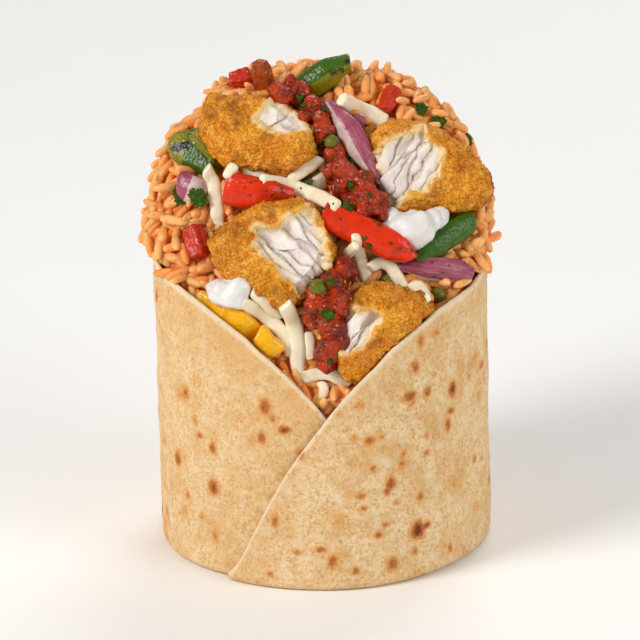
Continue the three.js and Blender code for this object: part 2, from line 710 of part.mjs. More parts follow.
const SHREDS = [
  { path: [[-23.6, 89.9], [-21.2, 92.9]], width: 2.6, stations: 4 },
  { path: [[-18.5, 91.2], [-11.5, 89.2]], width: 2.8, stations: 5, lift: 3.5, on: onHeap },
  { path: [[-8, 88.3], [-4, 90.8], [1, 94.3]], width: 2.8, stations: 6, lift: 3, on: onHeap },
  { path: [[-1.5, 86.2], [2.6, 88.9]], width: 4, stations: 4, on: onHeap },
  { path: [[-14.5, 89], [-8, 87.6], [-2, 85.4], [5, 81.9]], width: 3.7, stations: 6 },
  { path: [[6.8, 109.3], [10, 107.2], [14, 105.2], [18.4, 102.9]], width: 4.2 },
  { path: [[-28.5, 92.3], [-26.7, 89], [-26, 83], [-25.3, 76.5]], width: 3.5 },
  { path: [[9.6, 74], [10.5, 68.5], [12.4, 62.7]], width: 3, stations: 6 },
  { path: [[6.5, 69.3], [9, 71.7]], width: 2.5, stations: 4 },
  { path: [[12.8, 65.5], [15.3, 67.3], [18, 66.3], [19.6, 63.3], [21.5, 60.5]], width: 2.9, stations: 8 },
  { path: [[23.2, 62], [25.5, 60.5], [26.3, 57.5]], width: 3.4, stations: 5 },
  { path: [[-17.6, 61], [-14, 58], [-10.8, 53.6]], width: 3.2, stations: 5 },
  { path: [[-20.5, 58], [-15.3, 55], [-10.6, 50.8], [-7.6, 44.4]], width: 3.6, stations: 6 },
  { path: [[-3.3, 49.7], [-2.9, 45.5], [-3, 42.5]], width: 2.5, stations: 5 },
  { path: [[-9.1, 57], [-7, 52.5], [-6.1, 46.3], [-6.5, 39]], width: 4 },
  { path: [[-0.7, 36.8], [-0.4, 33]], width: 2.6, stations: 4 },
  { path: [[-5.5, 37.9], [-1, 39.2], [2.5, 38.8], [7.4, 35.9]], width: 3.2, stations: 6 },
];
SHREDS.forEach((shred, k) => {
  lay(`cheese_${k + 1}`, 'cheese', strip({ thick: 2.2, lift: 0.8, sides: SHRED_SIDES, ...shred }));
});

// Parsley

const LEAVES = [
  { place: [-34.6, 85.8], size: 6.5, turn: 20 },
  { place: [-30.6, 84.6], size: 6.5, turn: 70 },
  { place: [26.8, 105.5], size: 4, turn: 10 },
  { place: [30.8, 102], size: 5, turn: 40 },
  { place: [37.8, 97.5], size: 4, turn: 0 },
  { place: [1.5, 54], size: 5, turn: 30 },
];
LEAVES.forEach((entry, k) => lay(`parsley_${k + 1}`, 'herb', leaf(entry)));

// Rice: the core with grains pressed into its surface wherever no topping lies

function grain(centre, along, face) {
  const side = along.clone().cross(face).normalize();
  const up = side.clone().cross(along).normalize();
  const radius = GRAIN_WIDTH / 2;
  const rings = [-GRAIN_BODY, GRAIN_BODY].map((share) => {
    const loop = [];
    for (let corner = 0; corner < GRAIN_SIDES; corner += 1) {
      const angle = corner * 2 * Math.PI / GRAIN_SIDES;
      loop.push(centre.clone().addScaledVector(along, share * GRAIN_LENGTH / 2)
        .addScaledVector(side, radius * Math.cos(angle)).addScaledVector(up, radius * Math.sin(angle)));
    }
    return loop;
  });
  const tip = (sign) => [centre.clone().addScaledVector(along, sign * GRAIN_LENGTH / 2)];
  return skinned([tip(-1), ...rings, tip(1)]);
}

function meets(one, other) {
  return one.intersect(other).getMesh().triVerts.length > 0;
}

function clearOfToppings(shape) {
  const box = boxOf(shape);
  return laid.every((piece) => !box.intersectsBox(piece.box) || !meets(shape, piece.clear));
}

function riceHeap() {
  const random = seededRandom(GRAIN_SEED);
  let heap = heapCore(0).subtract(tortillaClear);
  laid.filter((piece) => meets(heap, piece.shape)).forEach((piece) => {
    heap = heap.subtract(piece.clear);
  });
  for (let k = 0; k < GRAIN_TRIES; k += 1) {
    const share = (k + 0.5) / GRAIN_TRIES;
    const rise = FLANK_RISE.least + FLANK_RISE.range * share / FLANK_GRAINS;
    const flank = (1 - rise * rise) ** (1 / HEAP_SQUARE);
    const dome = DOME_REACH * Math.sqrt((share - FLANK_GRAINS) / (1 - FLANK_GRAINS));
    const degrees = ((k * GOLDEN_TURN + 180) % 360) - 180;
    const reach = heapRadius(degrees) * (share < FLANK_GRAINS ? flank : dome);
    const centre = polar(reach, degrees, 0);
    centre.z = heapHeight(centre.x, centre.y);
    const face = heapNormal(centre.x, centre.y);
    const along = new THREE.Vector3(1, 0, 0).cross(face).normalize();
    along.applyAxisAngle(face, random() * Math.PI * 2);
    along.addScaledVector(face, GRAIN_TIP.least + GRAIN_TIP.range * random()).normalize();
    centre.addScaledVector(face, GRAIN_LIFT);
    const piece = grain(centre, along, face);
    if (!meets(piece, tortillaClear) && clearOfToppings(piece)) {
      heap = heap.add(piece);
    }
  }
  return largestBody(heap);
}

// The finished group

const group = new THREE.Group();
group.name = 'burrito';

function addNode(name, colour, shape) {
  const material = new THREE.MeshStandardMaterial({ color: COLOURS[colour], roughness: 0.65, metalness: 0 });
  const mesh = new THREE.Mesh(geometryOf(shape), material);
  mesh.name = name;
  group.add(mesh);
}

addNode('tortilla', 'tortilla', tortilla);
addNode('rice', 'rice', riceHeap());
laid.forEach((piece) => addNode(piece.name, piece.colour, piece.shape));

export default group;
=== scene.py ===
"""Dresses a stuffed burrito: tortilla, rice, breaded fish, vegetables, salsa, cream and cheese."""
import json
import math
import random
from contextlib import contextmanager

import bmesh
import bpy
import numpy as np
from bpy.props import FloatProperty, FloatVectorProperty, IntProperty, PointerProperty
from mathutils import Matrix, Vector, noise
from mathutils.bvhtree import BVHTree

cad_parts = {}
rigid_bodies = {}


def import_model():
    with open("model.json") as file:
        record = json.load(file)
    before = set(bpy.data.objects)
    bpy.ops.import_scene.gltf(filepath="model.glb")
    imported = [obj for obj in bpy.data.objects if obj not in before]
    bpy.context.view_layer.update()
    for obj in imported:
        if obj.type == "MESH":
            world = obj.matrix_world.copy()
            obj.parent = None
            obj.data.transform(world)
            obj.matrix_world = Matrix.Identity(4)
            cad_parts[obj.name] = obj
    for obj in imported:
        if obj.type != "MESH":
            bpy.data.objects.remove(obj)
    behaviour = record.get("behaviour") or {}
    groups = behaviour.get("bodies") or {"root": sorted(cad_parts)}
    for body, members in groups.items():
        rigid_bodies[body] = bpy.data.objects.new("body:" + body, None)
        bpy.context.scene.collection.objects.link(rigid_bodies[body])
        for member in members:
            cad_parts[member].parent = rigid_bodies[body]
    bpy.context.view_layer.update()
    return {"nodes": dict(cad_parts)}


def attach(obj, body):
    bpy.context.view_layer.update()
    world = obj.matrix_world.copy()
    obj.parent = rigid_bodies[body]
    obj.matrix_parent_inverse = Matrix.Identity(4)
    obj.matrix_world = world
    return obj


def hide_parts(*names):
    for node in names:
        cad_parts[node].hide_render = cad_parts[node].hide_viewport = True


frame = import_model()

bl_info = {
    "name": "Stuffed burrito",
    "version": (1, 0, 0),
    "blender": (4, 5, 0),
    "location": "View3D > Sidebar > Burrito",
    "description": "Makes a stuffed burrito with its fillings and a small studio",
    "category": "Object",
}

MM = 0.001
COARSE = 1.0

# The wrap, in millimetres and degrees round from the front
WRAP_RADIUS = 42.0
SHEET = 1.9
EDGE_THICK = 1.1
TUCK = 2.2
FLAP_PROUD = 0.4
INNER_DIP = 1.7
FLAP_FROM = -36.0
SHEET_TO = 396.0
FLOOR = 4.0
SHEET_EDGE = (
    (-36, 0.6), (-27, 12), (-18, 25.5), (-9, 36.3), (0, 45), (9, 53), (27, 64.5), (45, 70), (77, 72.5),
    (90, 76), (180, 88), (270, 77), (298, 75), (313, 72), (330, 66), (345, 58), (360, 47), (396, 6),
)

# The front view: places in it are millimetres across and up from the middle of the foot
VIEW_RISE = math.radians(20.4)
VIEW_ROLL = math.radians(1.4)
VIEW_AWAY = 1500.0
VIEW_WIDTH = 163.3
VIEW_CENTRE = (-0.3, 52.9)
ACROSS = np.array((1.0, 0.0, 0.0))
UPWARD = np.array((0.0, math.sin(VIEW_RISE), math.cos(VIEW_RISE)))
TO_EYE = np.array((0.0, -math.cos(VIEW_RISE), math.sin(VIEW_RISE)))
EYE = TO_EYE * VIEW_AWAY + ACROSS * VIEW_CENTRE[0] + UPWARD * VIEW_CENTRE[1]

# Toast spots as they show on the front: across, up, size, darkness
LEFT_SPOTS = (
    (-35.5, 35, 2.6, 0.7), (-33.5, 28, 1.6, 0.6), (-32.5, 24, 1.8, 0.7), (-29, 24, 1.4, 0.5), (-41, 22.5, 2.0, 0.5),
    (-37.5, 18.5, 2.6, 0.9), (-29.5, 20.5, 2.2, 0.8), (-29.5, 10.5, 2.9, 1.0), (-35.5, 9, 1.8, 0.7),
    (-32.5, 3.5, 1.6, 0.6), (-41.5, 2.5, 2.2, 0.6), (-29.5, -2, 2.2, 0.6), (-15.5, 30.5, 2.9, 0.9),
    (-13.5, 27.5, 1.7, 0.7), (-10.5, 24.5, 2.2, 1.0), (-16.5, 22.5, 2.4, 0.8), (-23.5, 26, 2.0, 0.4),
    (-28, 30, 1.8, 0.4), (-22, 0, 1.8, 0.4),
)
FLAP_SPOTS = (
    (23.5, 40.5, 2.2, 0.8), (22, 33, 2.6, 0.9), (22.5, 31, 1.6, 0.7), (26.5, 34, 2.2, 0.8), (33, 34.5, 2.8, 1.0),
    (32.5, 29, 1.9, 0.8), (31.5, 25.5, 2.4, 0.8), (26, 23, 1.6, 0.6), (26, 18.5, 1.6, 0.7), (37.5, 37.5, 1.6, 0.6),
    (40.5, 40.5, 2.2, 0.7), (9, 31, 2.4, 0.5), (11.5, 22, 2.0, 0.8), (14.5, 23, 1.4, 0.6), (7.5, 22.5, 1.8, 0.6),
    (20, 18.5, 1.6, 0.6), (19.5, 16, 1.6, 0.7), (12, 15, 1.6, 0.7), (16.5, 11, 2.4, 0.9), (15.5, 9, 1.6, 0.8),
    (18, 6, 1.5, 0.6), (24, 7.5, 1.9, 0.7), (38, 16.5, 2.0, 0.7), (32.5, 11, 3.0, 0.4), (9, 8, 1.7, 0.7),
    (9.5, 5, 1.5, 0.7), (3, 2, 3.4, 0.4), (13, -2, 1.7, 0.8), (15, 0.5, 1.4, 0.7), (23, -1, 3.2, 1.1),
    (25, 0, 1.8, 0.9), (22, -6.5, 1.9, 0.7), (31.5, -6, 1.9, 0.7), (16.5, -9.5, 3.0, 0.8), (7, -11, 1.9, 0.7),
    (-1.5, -5.5, 1.8, 0.8), (1.5, -8.5, 2.4, 0.8), (-6, 18.5, 2.0, 0.7), (-13, 2, 2.0, 0.8),
    (-7.5, -6, 1.6, 0.6), (-14.5, -11.5, 1.8, 0.6), (25, 47, 2.2, 0.7), (29, 49, 1.8, 0.6), (23, 41, 1.7, 0.7),
)

# Toast spots that the front view leaves open: dark ones behind and faint ones all round
SPOT_SEED = 23
HIDDEN_SPOTS = 150
FAINT_SPOTS = 150
SPOT_HEIGHTS = (2, 86)

# Length of a flake of fish along its fibres, and reach of a pebble of crumbs for the large crags
FLAKE_LONG = 20.0
CRAG_CRUMBS = 2.6

# Where the white flakes of each broken fish piece show, and how its flakes run
FLESH = {
    "fish_1": {
        "outline": ((-16, 104.5), (-13, 107.5), (-11, 109.5), (-5.5, 107), (-1, 102), (-3, 100.8), (-8.5, 100.5)),
        "slant": 22.0, "flake": 6.0,
    },
    "fish_2": {
        "outline": (
            (14.5, 94.5), (18.5, 98), (23.5, 100), (27, 101), (29, 97.5), (31.8, 95.4), (31.2, 89.3), (27.5, 86),
            (23, 84.5), (19, 81), (14.5, 86),
        ),
        "slant": 58.0, "flake": 3.3,
    },
    "fish_3": {
        "outline": (
            (-16, 77.5), (-12, 76.3), (-9.7, 77), (-6.5, 80.2), (-3.5, 81.5), (-0.5, 77.5), (1.2, 73.5), (2, 67.5),
            (0, 62.5), (-5.5, 60), (-13.7, 69.5), (-16.5, 72.5),
        ),
        "slant": -42.0, "flake": 3.5,
    },
    "fish_4": {
        "outline": ((4, 55.5), (12.7, 55), (16, 53.5), (13.2, 50), (11, 45.8), (7.9, 44.5), (3, 45.5)),
        "slant": 46.0, "flake": 2.9,
    },
}

# The heap's outline in the front view
SKYLINE = (
    (-46, 25), (-44.5, 77), (-43.1, 87), (-42.9, 90), (-40.6, 94.6), (-38.9, 98.7), (-37.6, 102.3), (-33.3, 103.2),
    (-29.6, 105.5), (-27.1, 111.7), (-22.6, 115), (-19.5, 117.5), (-14.9, 119.8), (-8, 119.5), (-4.2, 120),
    (5.9, 122.3), (11.4, 117.5), (18.6, 117.5), (22, 113), (27.5, 111.8), (31.6, 107.5), (36.2, 101.7), (40.3, 94),
    (44.4, 85), (46, 78), (45.2, 74), (43.3, 70.5), (43, 25),
)

# Rounded lumps laid over the solids of the salsa and the cream: across, up, size
LUMPS = {
    "salsa_1": (
        (-7.6, 110.1, 4.6), (-4.6, 108.6, 5.0), (-1.4, 108.6, 3.6), (-3.2, 105.5, 3.6), (0.4, 104.6, 5.6),
        (2.0, 101.5, 5.6), (1.4, 99.0, 4.0), (-1.3, 102.5, 3.5),
    ),
    "salsa_2": (
        (4.6, 93.6, 5.0), (6.6, 91.0, 6.4), (3.2, 91.0, 4.4), (8.4, 88.6, 5.6), (5.6, 87.0, 4.4), (12.0, 87.0, 5.4),
        (10.4, 84.4, 5.6), (13.6, 83.6, 5.6), (15.6, 81.2, 4.6), (12.0, 80.6, 4.8), (8.0, 82.6, 4.2),
        (16.6, 79.2, 3.6),
    ),
    "salsa_3": (
        (6.6, 64.6, 4.8), (7.6, 61.8, 4.2), (4.0, 62.2, 5.4), (2.6, 59.4, 4.8), (5.4, 58.4, 5.0), (-2.2, 56.4, 4.4),
        (1.2, 56.2, 5.4), (4.6, 55.4, 4.6), (-2.4, 52.5, 4.2), (1.6, 52.6, 5.4),
        (4.4, 50.6, 4.6), (5.4, 47.4, 4.2), (2.4, 47.0, 5.4), (0.4, 44.2, 5.2), (3.0, 43.4, 4.4), (1.4, 41.0, 3.8),
    ),
    "cream_1": ((-25.6, 60.4, 5.8), (-20.8, 61.4, 5.6), (-23.2, 59.9, 6.8), (-20.6, 58.4, 5.2)),
    "cream_2": (
        (19.8, 75.4, 6.2), (22.8, 75.6, 7.4), (26.2, 75.4, 7.6), (28.8, 75.2, 6.0), (23.6, 73.2, 7.6),
        (26.4, 73.4, 6.8), (24.2, 70.8, 5.8), (26.2, 77.4, 5.6), (28.6, 77.6, 5.6), (23.2, 77.0, 4.8),
    ),
}

# Strips: middle line in the front view, width, thickness, and the cut of each.
# taper, ease and slant are for the two ends; flesh is the side that shows flesh and how little of it.
ALL_SKIN = 2.0
PLAIN_CUT = {"arch": 0.0, "ridge": 0.0, "bevel": 0.6, "square": 0.72, "slant": (0.0, 0.0), "flesh": (-90, ALL_SKIN)}
STRIPS = {
    "pepper_green_1": (((-5.5, 108.5), (-1, 112.6), (4.5, 116), (9.3, 118)), 7.6, 4.6,
                       {"arch": 0.04, "ridge": 0.3, "taper": (0.55, 0.62), "ease": (0.4, 0.4),
                        "slant": (0.0, -0.35), "flesh": (0, -0.12)}),
    "pepper_green_3": (((25.4, 67.2), (30.1, 71.2), (34.5, 74.2), (39.8, 76.8)), 6.5, 4.0,
                       {"arch": 0.1, "taper": (0.6, 0.85), "ease": (0.3, 0.15), "slant": (0.3, -0.4),
                        "flesh": (-90, 0.25)}),
    "pepper_red_1": (((-23.8, 86.6), (-19, 85.7), (-14, 84.3), (-7, 82.8)), 8.4, 4.2,
                     {"arch": 0.05, "taper": (0.94, 0.74), "ease": (0.1, 0.4), "slant": (-0.1, 0.0), "bevel": 0.4,
                      "square": 0.55, "flesh": (-90, 0.2)}),
    "pepper_red_2": (((1, 79.6), (7, 76.8), (13, 74), (18.5, 71), (23.4, 67.4)), 7.6, 4.2,
                     {"arch": 0.07, "taper": (0.9, 0.5), "ease": (0.2, 0.22), "slant": (0.0, -0.5), "bevel": 0.4,
                      "square": 0.6, "flesh": (-90, 0.2)}),
    "pepper_yellow_1": (((-31, 59), (-25, 56.5), (-20, 52), (-17, 49.5)), 5.6, 3.4,
                        {"arch": 0.04, "taper": (0.7, 0.9), "ease": (0.4, 0.1), "slant": (0.0, 0.3), "bevel": 0.35,
                         "square": 0.5, "flesh": (-90, 0.3)}),
    "pepper_yellow_2": (((-16, 49.5), (-14, 47), (-11, 44.5)), 5.2, 3.6,
                        {"arch": 0.04, "taper": (0.9, 0.8), "ease": (0.1, 0.2), "slant": (0.4, -0.3), "bevel": 0.35,
                         "square": 0.5, "flesh": (-90, 0.3)}),
    "onion_1": (((1.0, 109.4), (4.4, 106.4), (7.4, 102.2), (10.2, 97.2), (12.9, 91.6), (15.9, 86)), 6.3, 2.7,
                {"arch": 0.1, "ridge": 0.22, "taper": (0.34, 0.28), "ease": (0.4, 0.45), "flesh": (0, 0.1),
                 "square": 0.9}),
    "onion_2": (((20, 64.5), (25, 65.0), (31, 64.3), (36, 63.7), (40.6, 62.4)), 6.4, 2.6,
                {"arch": 0.1, "ridge": 0.15, "taper": (0.3, 0.6), "ease": (0.4, 0.25), "flesh": (0, 0.55),
                 "square": 0.85}),
    "onion_3": (((-35.3, 88.2), (-31.8, 86.4), (-28.2, 83.2)), 7.0, 3.6,
                {"arch": 0.06, "ridge": 0.1, "taper": (0.8, 0.7), "ease": (0.2, 0.3), "slant": (0.35, 0.0),
                 "square": 0.6, "bevel": 0.4}),
}

# Cheese shreds: middle line in the front view and width
SHREDS = (
    (((-23.6, 89.9), (-21.2, 92.9)), 2.6),
    (((-18.5, 91.2), (-11.5, 89.2)), 2.9),
    (((-8, 88.3), (-4, 90.8), (1, 94.3)), 2.9),
    (((-1.5, 86.2), (2.6, 88.9)), 4.0),
    (((-14.5, 89), (-8, 87.6), (-2, 85.4), (5, 81.9)), 3.8),
    (((6.8, 109.3), (10, 107.2), (14, 105.2), (18.4, 102.9)), 4.3),
    (((-28.5, 92.3), (-26.7, 89), (-26, 83), (-25.3, 76.5)), 3.5),
    (((9.6, 74), (10.5, 68.5), (12.4, 62.7)), 3.1),
    (((6.5, 69.3), (9, 71.7)), 2.6),
    (((12.8, 65.5), (15.3, 67.3), (18, 66.3), (19.6, 63.3), (21.5, 60.5)), 3.0),
    (((23.2, 62), (25.5, 60.5), (26.3, 57.5)), 3.5),
    (((-17.6, 61), (-14, 58), (-10.8, 53.6)), 3.2),
    (((-20.5, 58), (-15.3, 55), (-10.6, 50.8), (-7.6, 44.4)), 3.7),
    (((-3.3, 49.7), (-2.9, 45.5), (-3, 42.5)), 2.6),
    (((-9.1, 57), (-7, 52.5), (-6.1, 46.3), (-6.5, 39)), 4.0),
    (((-1.0, 38.6), (0.5, 35.8), (0.0, 32.4)), 2.3),
    (((-5.5, 37.9), (-1, 39.2), (2.5, 38.8), (7.4, 35.9)), 3.3),
)
SHRED_THICK = 2.3

# Lines of the front view that part skin from flesh, which is on the left of each
SKIN_SPLITS = {
    "pepper_green_2": ((-34.5, 93.6), (-33.1, 100), (-26.5, 93.4)),
    "onion_3": ((-31.8, 90.8), (-34.4, 84.4)),
    "onion_4": ((8.8, 106), (12.8, 104)),
    "tomato_2": ((-40, 130), (-40, 100)),
}

# Charred marks on the green peppers: across, up, size
CHAR_MARKS = (
    (4.5, 116.1, 1.6), (6.6, 116.5, 1.5), (8.4, 118.7, 1.2), (-35.6, 97.6, 2.4), (-33.4, 98.2, 2.2),
)

# Linear colours of the herb specks and the char on the vegetables
HERB_SHADE = (0.03, 0.025, 0.012)
CHAR_SHADE = (0.012, 0.01, 0.006)

# Chopped herb leaves: across, up, size
HERB_PLACES = (
    (-2.3, 88.1, 3.2), (7.3, 81.2, 3.4), (1.5, 54.1, 4.4), (2.7, 62.7, 3.4), (7.9, 94.7, 2.8), (8.4, 87.3, 2.6),
    (2.0, 42.3, 2.0), (12.6, 71.7, 2.2), (-4.0, 109.6, 2.8), (-3.3, 107.4, 3.0), (1.8, 106.4, 2.2), (8.8, 92.7, 2.6),
)

# Small flecks: kinds of pieces that carry them, tries, box of the view, least and most size
FLECK_PATCHES = (
    (("salsa",), 60, (-10, 80, 18, 111), 0.7, 1.9),
    (("salsa",), 30, (-4, 40, 9, 68), 0.7, 1.7),
    (("pepper_red",), 40, (-25, 80, -6, 91), 0.7, 1.5),
    (("pepper_red",), 34, (0, 66, 26, 82), 0.7, 1.5),
    (("onion",), 16, (18, 61, 42, 68), 0.7, 1.3),
    (("cheese",), 12, (-30, 78, 8, 92), 0.6, 1.0),
)

# Layers of rice: share of the grain spacing, lift, tilt, and least distance of a grain inside the heap's outline
RICE_LAYERS = ((1.0, 0.3, 0.25, -1.3), (1.45, 1.5, 0.5, -0.3), (2.2, 2.3, 1.5, -1.4))
RICE_DRAWS = 20000
RICE_TURNS = 7
RICE_BELOW_RIM = 5.0

# Ranges of a grain's length and width as shares, its lift and bend in millimetres, and the reach of its ends
GRAIN_LENGTHS = (0.78, 1.14)
GRAIN_WIDTHS = (0.85, 1.1)
GRAIN_LIFTS = (-0.3, 0.5)
GRAIN_BENDS = (-0.6, 0.9)
GRAIN_END = 0.46
GRAIN_SIDES = 8
GRAIN_RINGS = 5

# Mesh cell in millimetres and rounds of smoothing of the pieces that are shaped from their solids
CELLS = {
    "rice": (1.1, 8), "fish": (0.33, 3), "pepper_green": (0.36, 4), "onion": (0.3, 1), "tomato": (0.3, 1),
    "olive": (0.3, 16), "salsa": (0.3, 12), "cream": (0.36, 44),
}
WELD = 0.004

# Depth of a lump, and how far its middle lies under the food, as shares of its size
LUMP_DEPTH = 0.36
LUMP_SUNK = 0.16

# Heights of the two faces of a fleck off the food, and the reach over which the food's normals are averaged
FLECK_BODY = (-0.15, 0.2)
NORMAL_REACH = 0.8


def linear(code):
    """A display colour such as e8cfa0 as linear red, green and blue."""
    shares = [int(code[k:k + 2], 16) / 255 for k in (0, 2, 4)]
    return tuple(s / 12.92 if s <= 0.04045 else ((s + 0.055) / 1.055) ** 2.4 for s in shares)


# Settings that a user would change


def colour_setting(name, description, code):
    return FloatVectorProperty(name=name, description=description, subtype="COLOR", size=3, min=0, max=1,
                               default=linear(code))


def length_setting(name, description, millimetres):
    return FloatProperty(name=name, description=description, unit="LENGTH", subtype="DISTANCE", min=0,
                         default=millimetres * MM, precision=5)


class WrapSettings(bpy.types.PropertyGroup):
    """Sizes and colours of the tortilla"""

    step: length_setting("Mesh step", "Distance between the points of the tortilla's mesh", 0.66)
    pale: colour_setting("Pale dough", "Colour of the baked dough where it is pale", "f2d5a6")
    golden: colour_setting("Golden dough", "Colour of the baked dough where it is golden", "dfae6e")
    pore: colour_setting("Pores", "Colour in the fine pores of the dough", "c8965a")
    # rim colour: also laid as a painted highlight along the sheet's rounded top edge
    rim: colour_setting("Rim", "Colour of the sheet's soft edge", "f2dfbc")
    # Halo colour round the toasted spots; the sheet's painted-shade mask shares this name
    glow: colour_setting("Halo", "Colour round the toasted spots", "e0963c")
    toast: colour_setting("Toast", "Colour of the toasted spots", "b4622a")
    burnt: colour_setting("Dark toast", "Colour at the middle of the darkest spots", "7a3a14")


class RiceSettings(bpy.types.PropertyGroup):
    """Sizes and colours of the rice"""

    grain_length: length_setting("Grain length", "Length of a cooked grain", 7.0)
    grain_width: length_setting("Grain width", "Thickness of a cooked grain", 2.4)
    spacing: length_setting("Grain spacing", "Least distance between the middles of two grains", 2.15)
    pale: colour_setting("Pale rice", "Colour of the palest grains", "ffc07a")
    deep: colour_setting("Deep rice", "Colour of the most seasoned grains", "ee821e")
    speck: colour_setting("Spice", "Colour of the fine spice on the grains", "8a3c10")
    seed: IntProperty(name="Seed", description="Seed of the random draw of the grains", default=7)


class FishSettings(bpy.types.PropertyGroup):
    """Sizes and colours of the breaded fish"""

    crumb: length_setting("Crumb size", "Size of the crumbs in the breading", 0.95)
    crust: length_setting("Crust", "Depth of the crust above the flesh", 1.0)
    golden: colour_setting("Golden crust", "Colour of most of the crust", "e48c18")
    # pale crumbs: the crust's lighter crumbs, also used as painted sparkle highlights
    pale: colour_setting("Pale crust", "Colour of the least fried crumbs", "fab848")
    # brown: the crust's most fried crumbs, also used as painted shade between the crumbs
    brown: colour_setting("Brown crust", "Colour of the most fried crumbs", "96480f")
    flesh: colour_setting("Flesh", "Colour of the cooked fish", "f3ebe4")
    lip: colour_setting("Torn edge", "Colour where the crust meets the flesh", "f8e0a8")
    sunny: colour_setting("Yellow crust", "Colour of the yellow patches of the crust", "f0a820")
    # groove colour: painted shade between the flakes
    groove: colour_setting("Flake grooves", "Colour between the flakes", "c3a596")


class FillingSettings(bpy.types.PropertyGroup):
    """Colours of the vegetables, salsa, cream and cheese"""

    green_skin: colour_setting("Green skin", "Skin of the green pepper", "3a6210")
    green_flesh: colour_setting("Green flesh", "Flesh of the green pepper", "8e8612")
    red_skin: colour_setting("Red pepper", "Skin of the red pepper", "e03002")
    red_flesh: colour_setting("Red flesh", "Cut side of the red pepper", "cc2c06")
    yellow_skin: colour_setting("Yellow pepper", "Skin of the yellow pepper", "fcba18")
    onion_skin: colour_setting("Onion skin", "Purple side of the onion", "a24c64")
    onion_flesh: colour_setting("Onion flesh", "Pale side of the onion", "e6cdc4")
    tomato: colour_setting("Tomato", "Colour of the tomato dice", "cc3418")
    tomato_brown: colour_setting("Seasoned tomato", "Colour of the fried tomato piece", "b4501a")
    salsa_light: colour_setting("Light salsa", "Tomato pieces in the salsa", "b6360c")
    salsa_dark: colour_setting("Dark salsa", "Sauce between the tomato pieces", "741a04")
    salsa_bits: colour_setting("Seeds", "Seeds and onion bits in the salsa", "e8a45a")
    cheese: colour_setting("Cheese", "Colour of the cheese shreds", "fff3d8")
    cream: colour_setting("Cream", "Colour of the cream", "ebe8e3")
    leaf: colour_setting("Leaf", "Colour of the parsley", "364e0c")
    olive: colour_setting("Olive", "Colour of the olives and capers", "6a6a1c")


class StudioSettings(bpy.types.PropertyGroup):
    """Light and floor"""

    floor: colour_setting("Floor", "Colour of the floor", "fcfbf9")
    key_power: FloatProperty(name="Key light", description="Power of the main light", unit="POWER", default=9.8)
    fill_power: FloatProperty(name="Fill light", description="Power of the fill light", unit="POWER", default=4.7)
    back_power: FloatProperty(name="Back light", description="Power of the light behind", unit="POWER", default=3.4)
    sky: FloatProperty(name="Sky", description="Strength of the surrounding light", default=0.3, min=0)


SETTINGS = {
    "burrito_wrap": WrapSettings,
    "burrito_rice": RiceSettings,
    "burrito_fish": FishSettings,
    "burrito_filling": FillingSettings,
    "burrito_studio": StudioSettings,
}


# Small mathematics


def smooth_step(low, high, value):
    """Eases from 0 at one limit to 1 at the other, which may be the lower one."""
    share = np.clip((np.asarray(value, float) - low) / (high - low), 0, 1)
    return share * share * (3 - 2 * share)


def unit(way):
    return way / np.linalg.norm(way)


def across_plane(normal, guide):
    """Two directions at right angles in the plane across a normal."""
    side = unit(np.cross(normal, guide))
    return side, np.cross(normal, side)


def moved_on(faces, start):
    """Faces with their points counted from another start."""
    return [tuple(start + k for k in face) for face in faces]


def edge_height(turn):
    """Height of the sheet's own top edge, in millimetres."""
    turns, heights = np.array(SHEET_EDGE, float).T
    turn = np.asarray(turn, float)
    around = [np.interp(np.clip(turn + shift, FLAP_FROM, SHEET_TO), turns, heights) for shift in (-5, -2.5, 0, 2.5, 5)]
    return np.mean(around, axis=0)


def rim_height(degrees):
    """Height of the open rim in a direction from the front, from -180 to 180 degrees."""
    degrees = np.asarray(degrees, float)
    return edge_height(np.where(degrees < 0, degrees + 360, degrees))


def sheet_outside(turn):
    """Radius of the sheet's outside: the flap stands proud, and the layer under it is drawn in."""
    flap = FLAP_PROUD * (1 - smooth_step(0, 45, turn))
    inner = INNER_DIP * smooth_step(290, 325, turn)
    angle = np.radians(turn)
    return WRAP_RADIUS + flap - inner + 0.3 * np.sin(2 * angle + 0.7) + 0.15 * np.sin(5 * angle)


def tuck_in(height):
    """How far the rounded foot draws the sheet in at a height."""
    left = np.maximum(0, 1 - np.asarray(height, float) / TUCK)
    return TUCK * (1 - np.sqrt(1 - left * left))


def view_places(points):
    """Places across and up in the front view of points in millimetres."""
    rays = points - EYE
    share = -(EYE @ TO_EYE) / (rays @ TO_EYE)
    hits = EYE + rays * share[:, None]
    return np.stack([hits @ ACROSS, hits @ UPWARD], axis=1)


def on_wrap(across, up):
    """Turn and height of the point of the wrap seen at a place of the front view."""
    ray = line_of_sight(across, up)
    square = ray[0] ** 2 + ray[1] ** 2
    half = EYE[0] * ray[0] + EYE[1] * ray[1]
    rest = EYE[0] ** 2 + EYE[1] ** 2 - WRAP_RADIUS ** 2
    away = (-half - math.sqrt(max(0.0, half * half - square * rest))) / square
    point = EYE + ray * away
    return math.degrees(math.atan2(point[0], -point[1])), point[2]


def off_side(places, start, end):
    """Distance of places from the straight side between two corners."""
    side = end - start
    share = np.clip(((places - start) @ side) / (side @ side), 0, 1)
    return np.linalg.norm(places - start - share[:, None] * side, axis=1)


def inside_outline(places, outline):
    """Distance of places from an outline, above zero inside it."""
    corners = np.array(outline, float)
    nearest = np.full(len(places), np.inf)
    inside = np.zeros(len(places), bool)
    for start, end in zip(corners, np.roll(corners, -1, axis=0)):
        side = end - start
        nearest = np.minimum(nearest, off_side(places, start, end))
        crosses = (start[1] > places[:, 1]) != (end[1] > places[:, 1])
        with np.errstate(divide="ignore", invalid="ignore"):
            at = side[0] * (places[:, 1] - start[1]) / side[1] + start[0]
        inside ^= crosses & (places[:, 0] < at)
    return np.where(inside, nearest, -nearest)


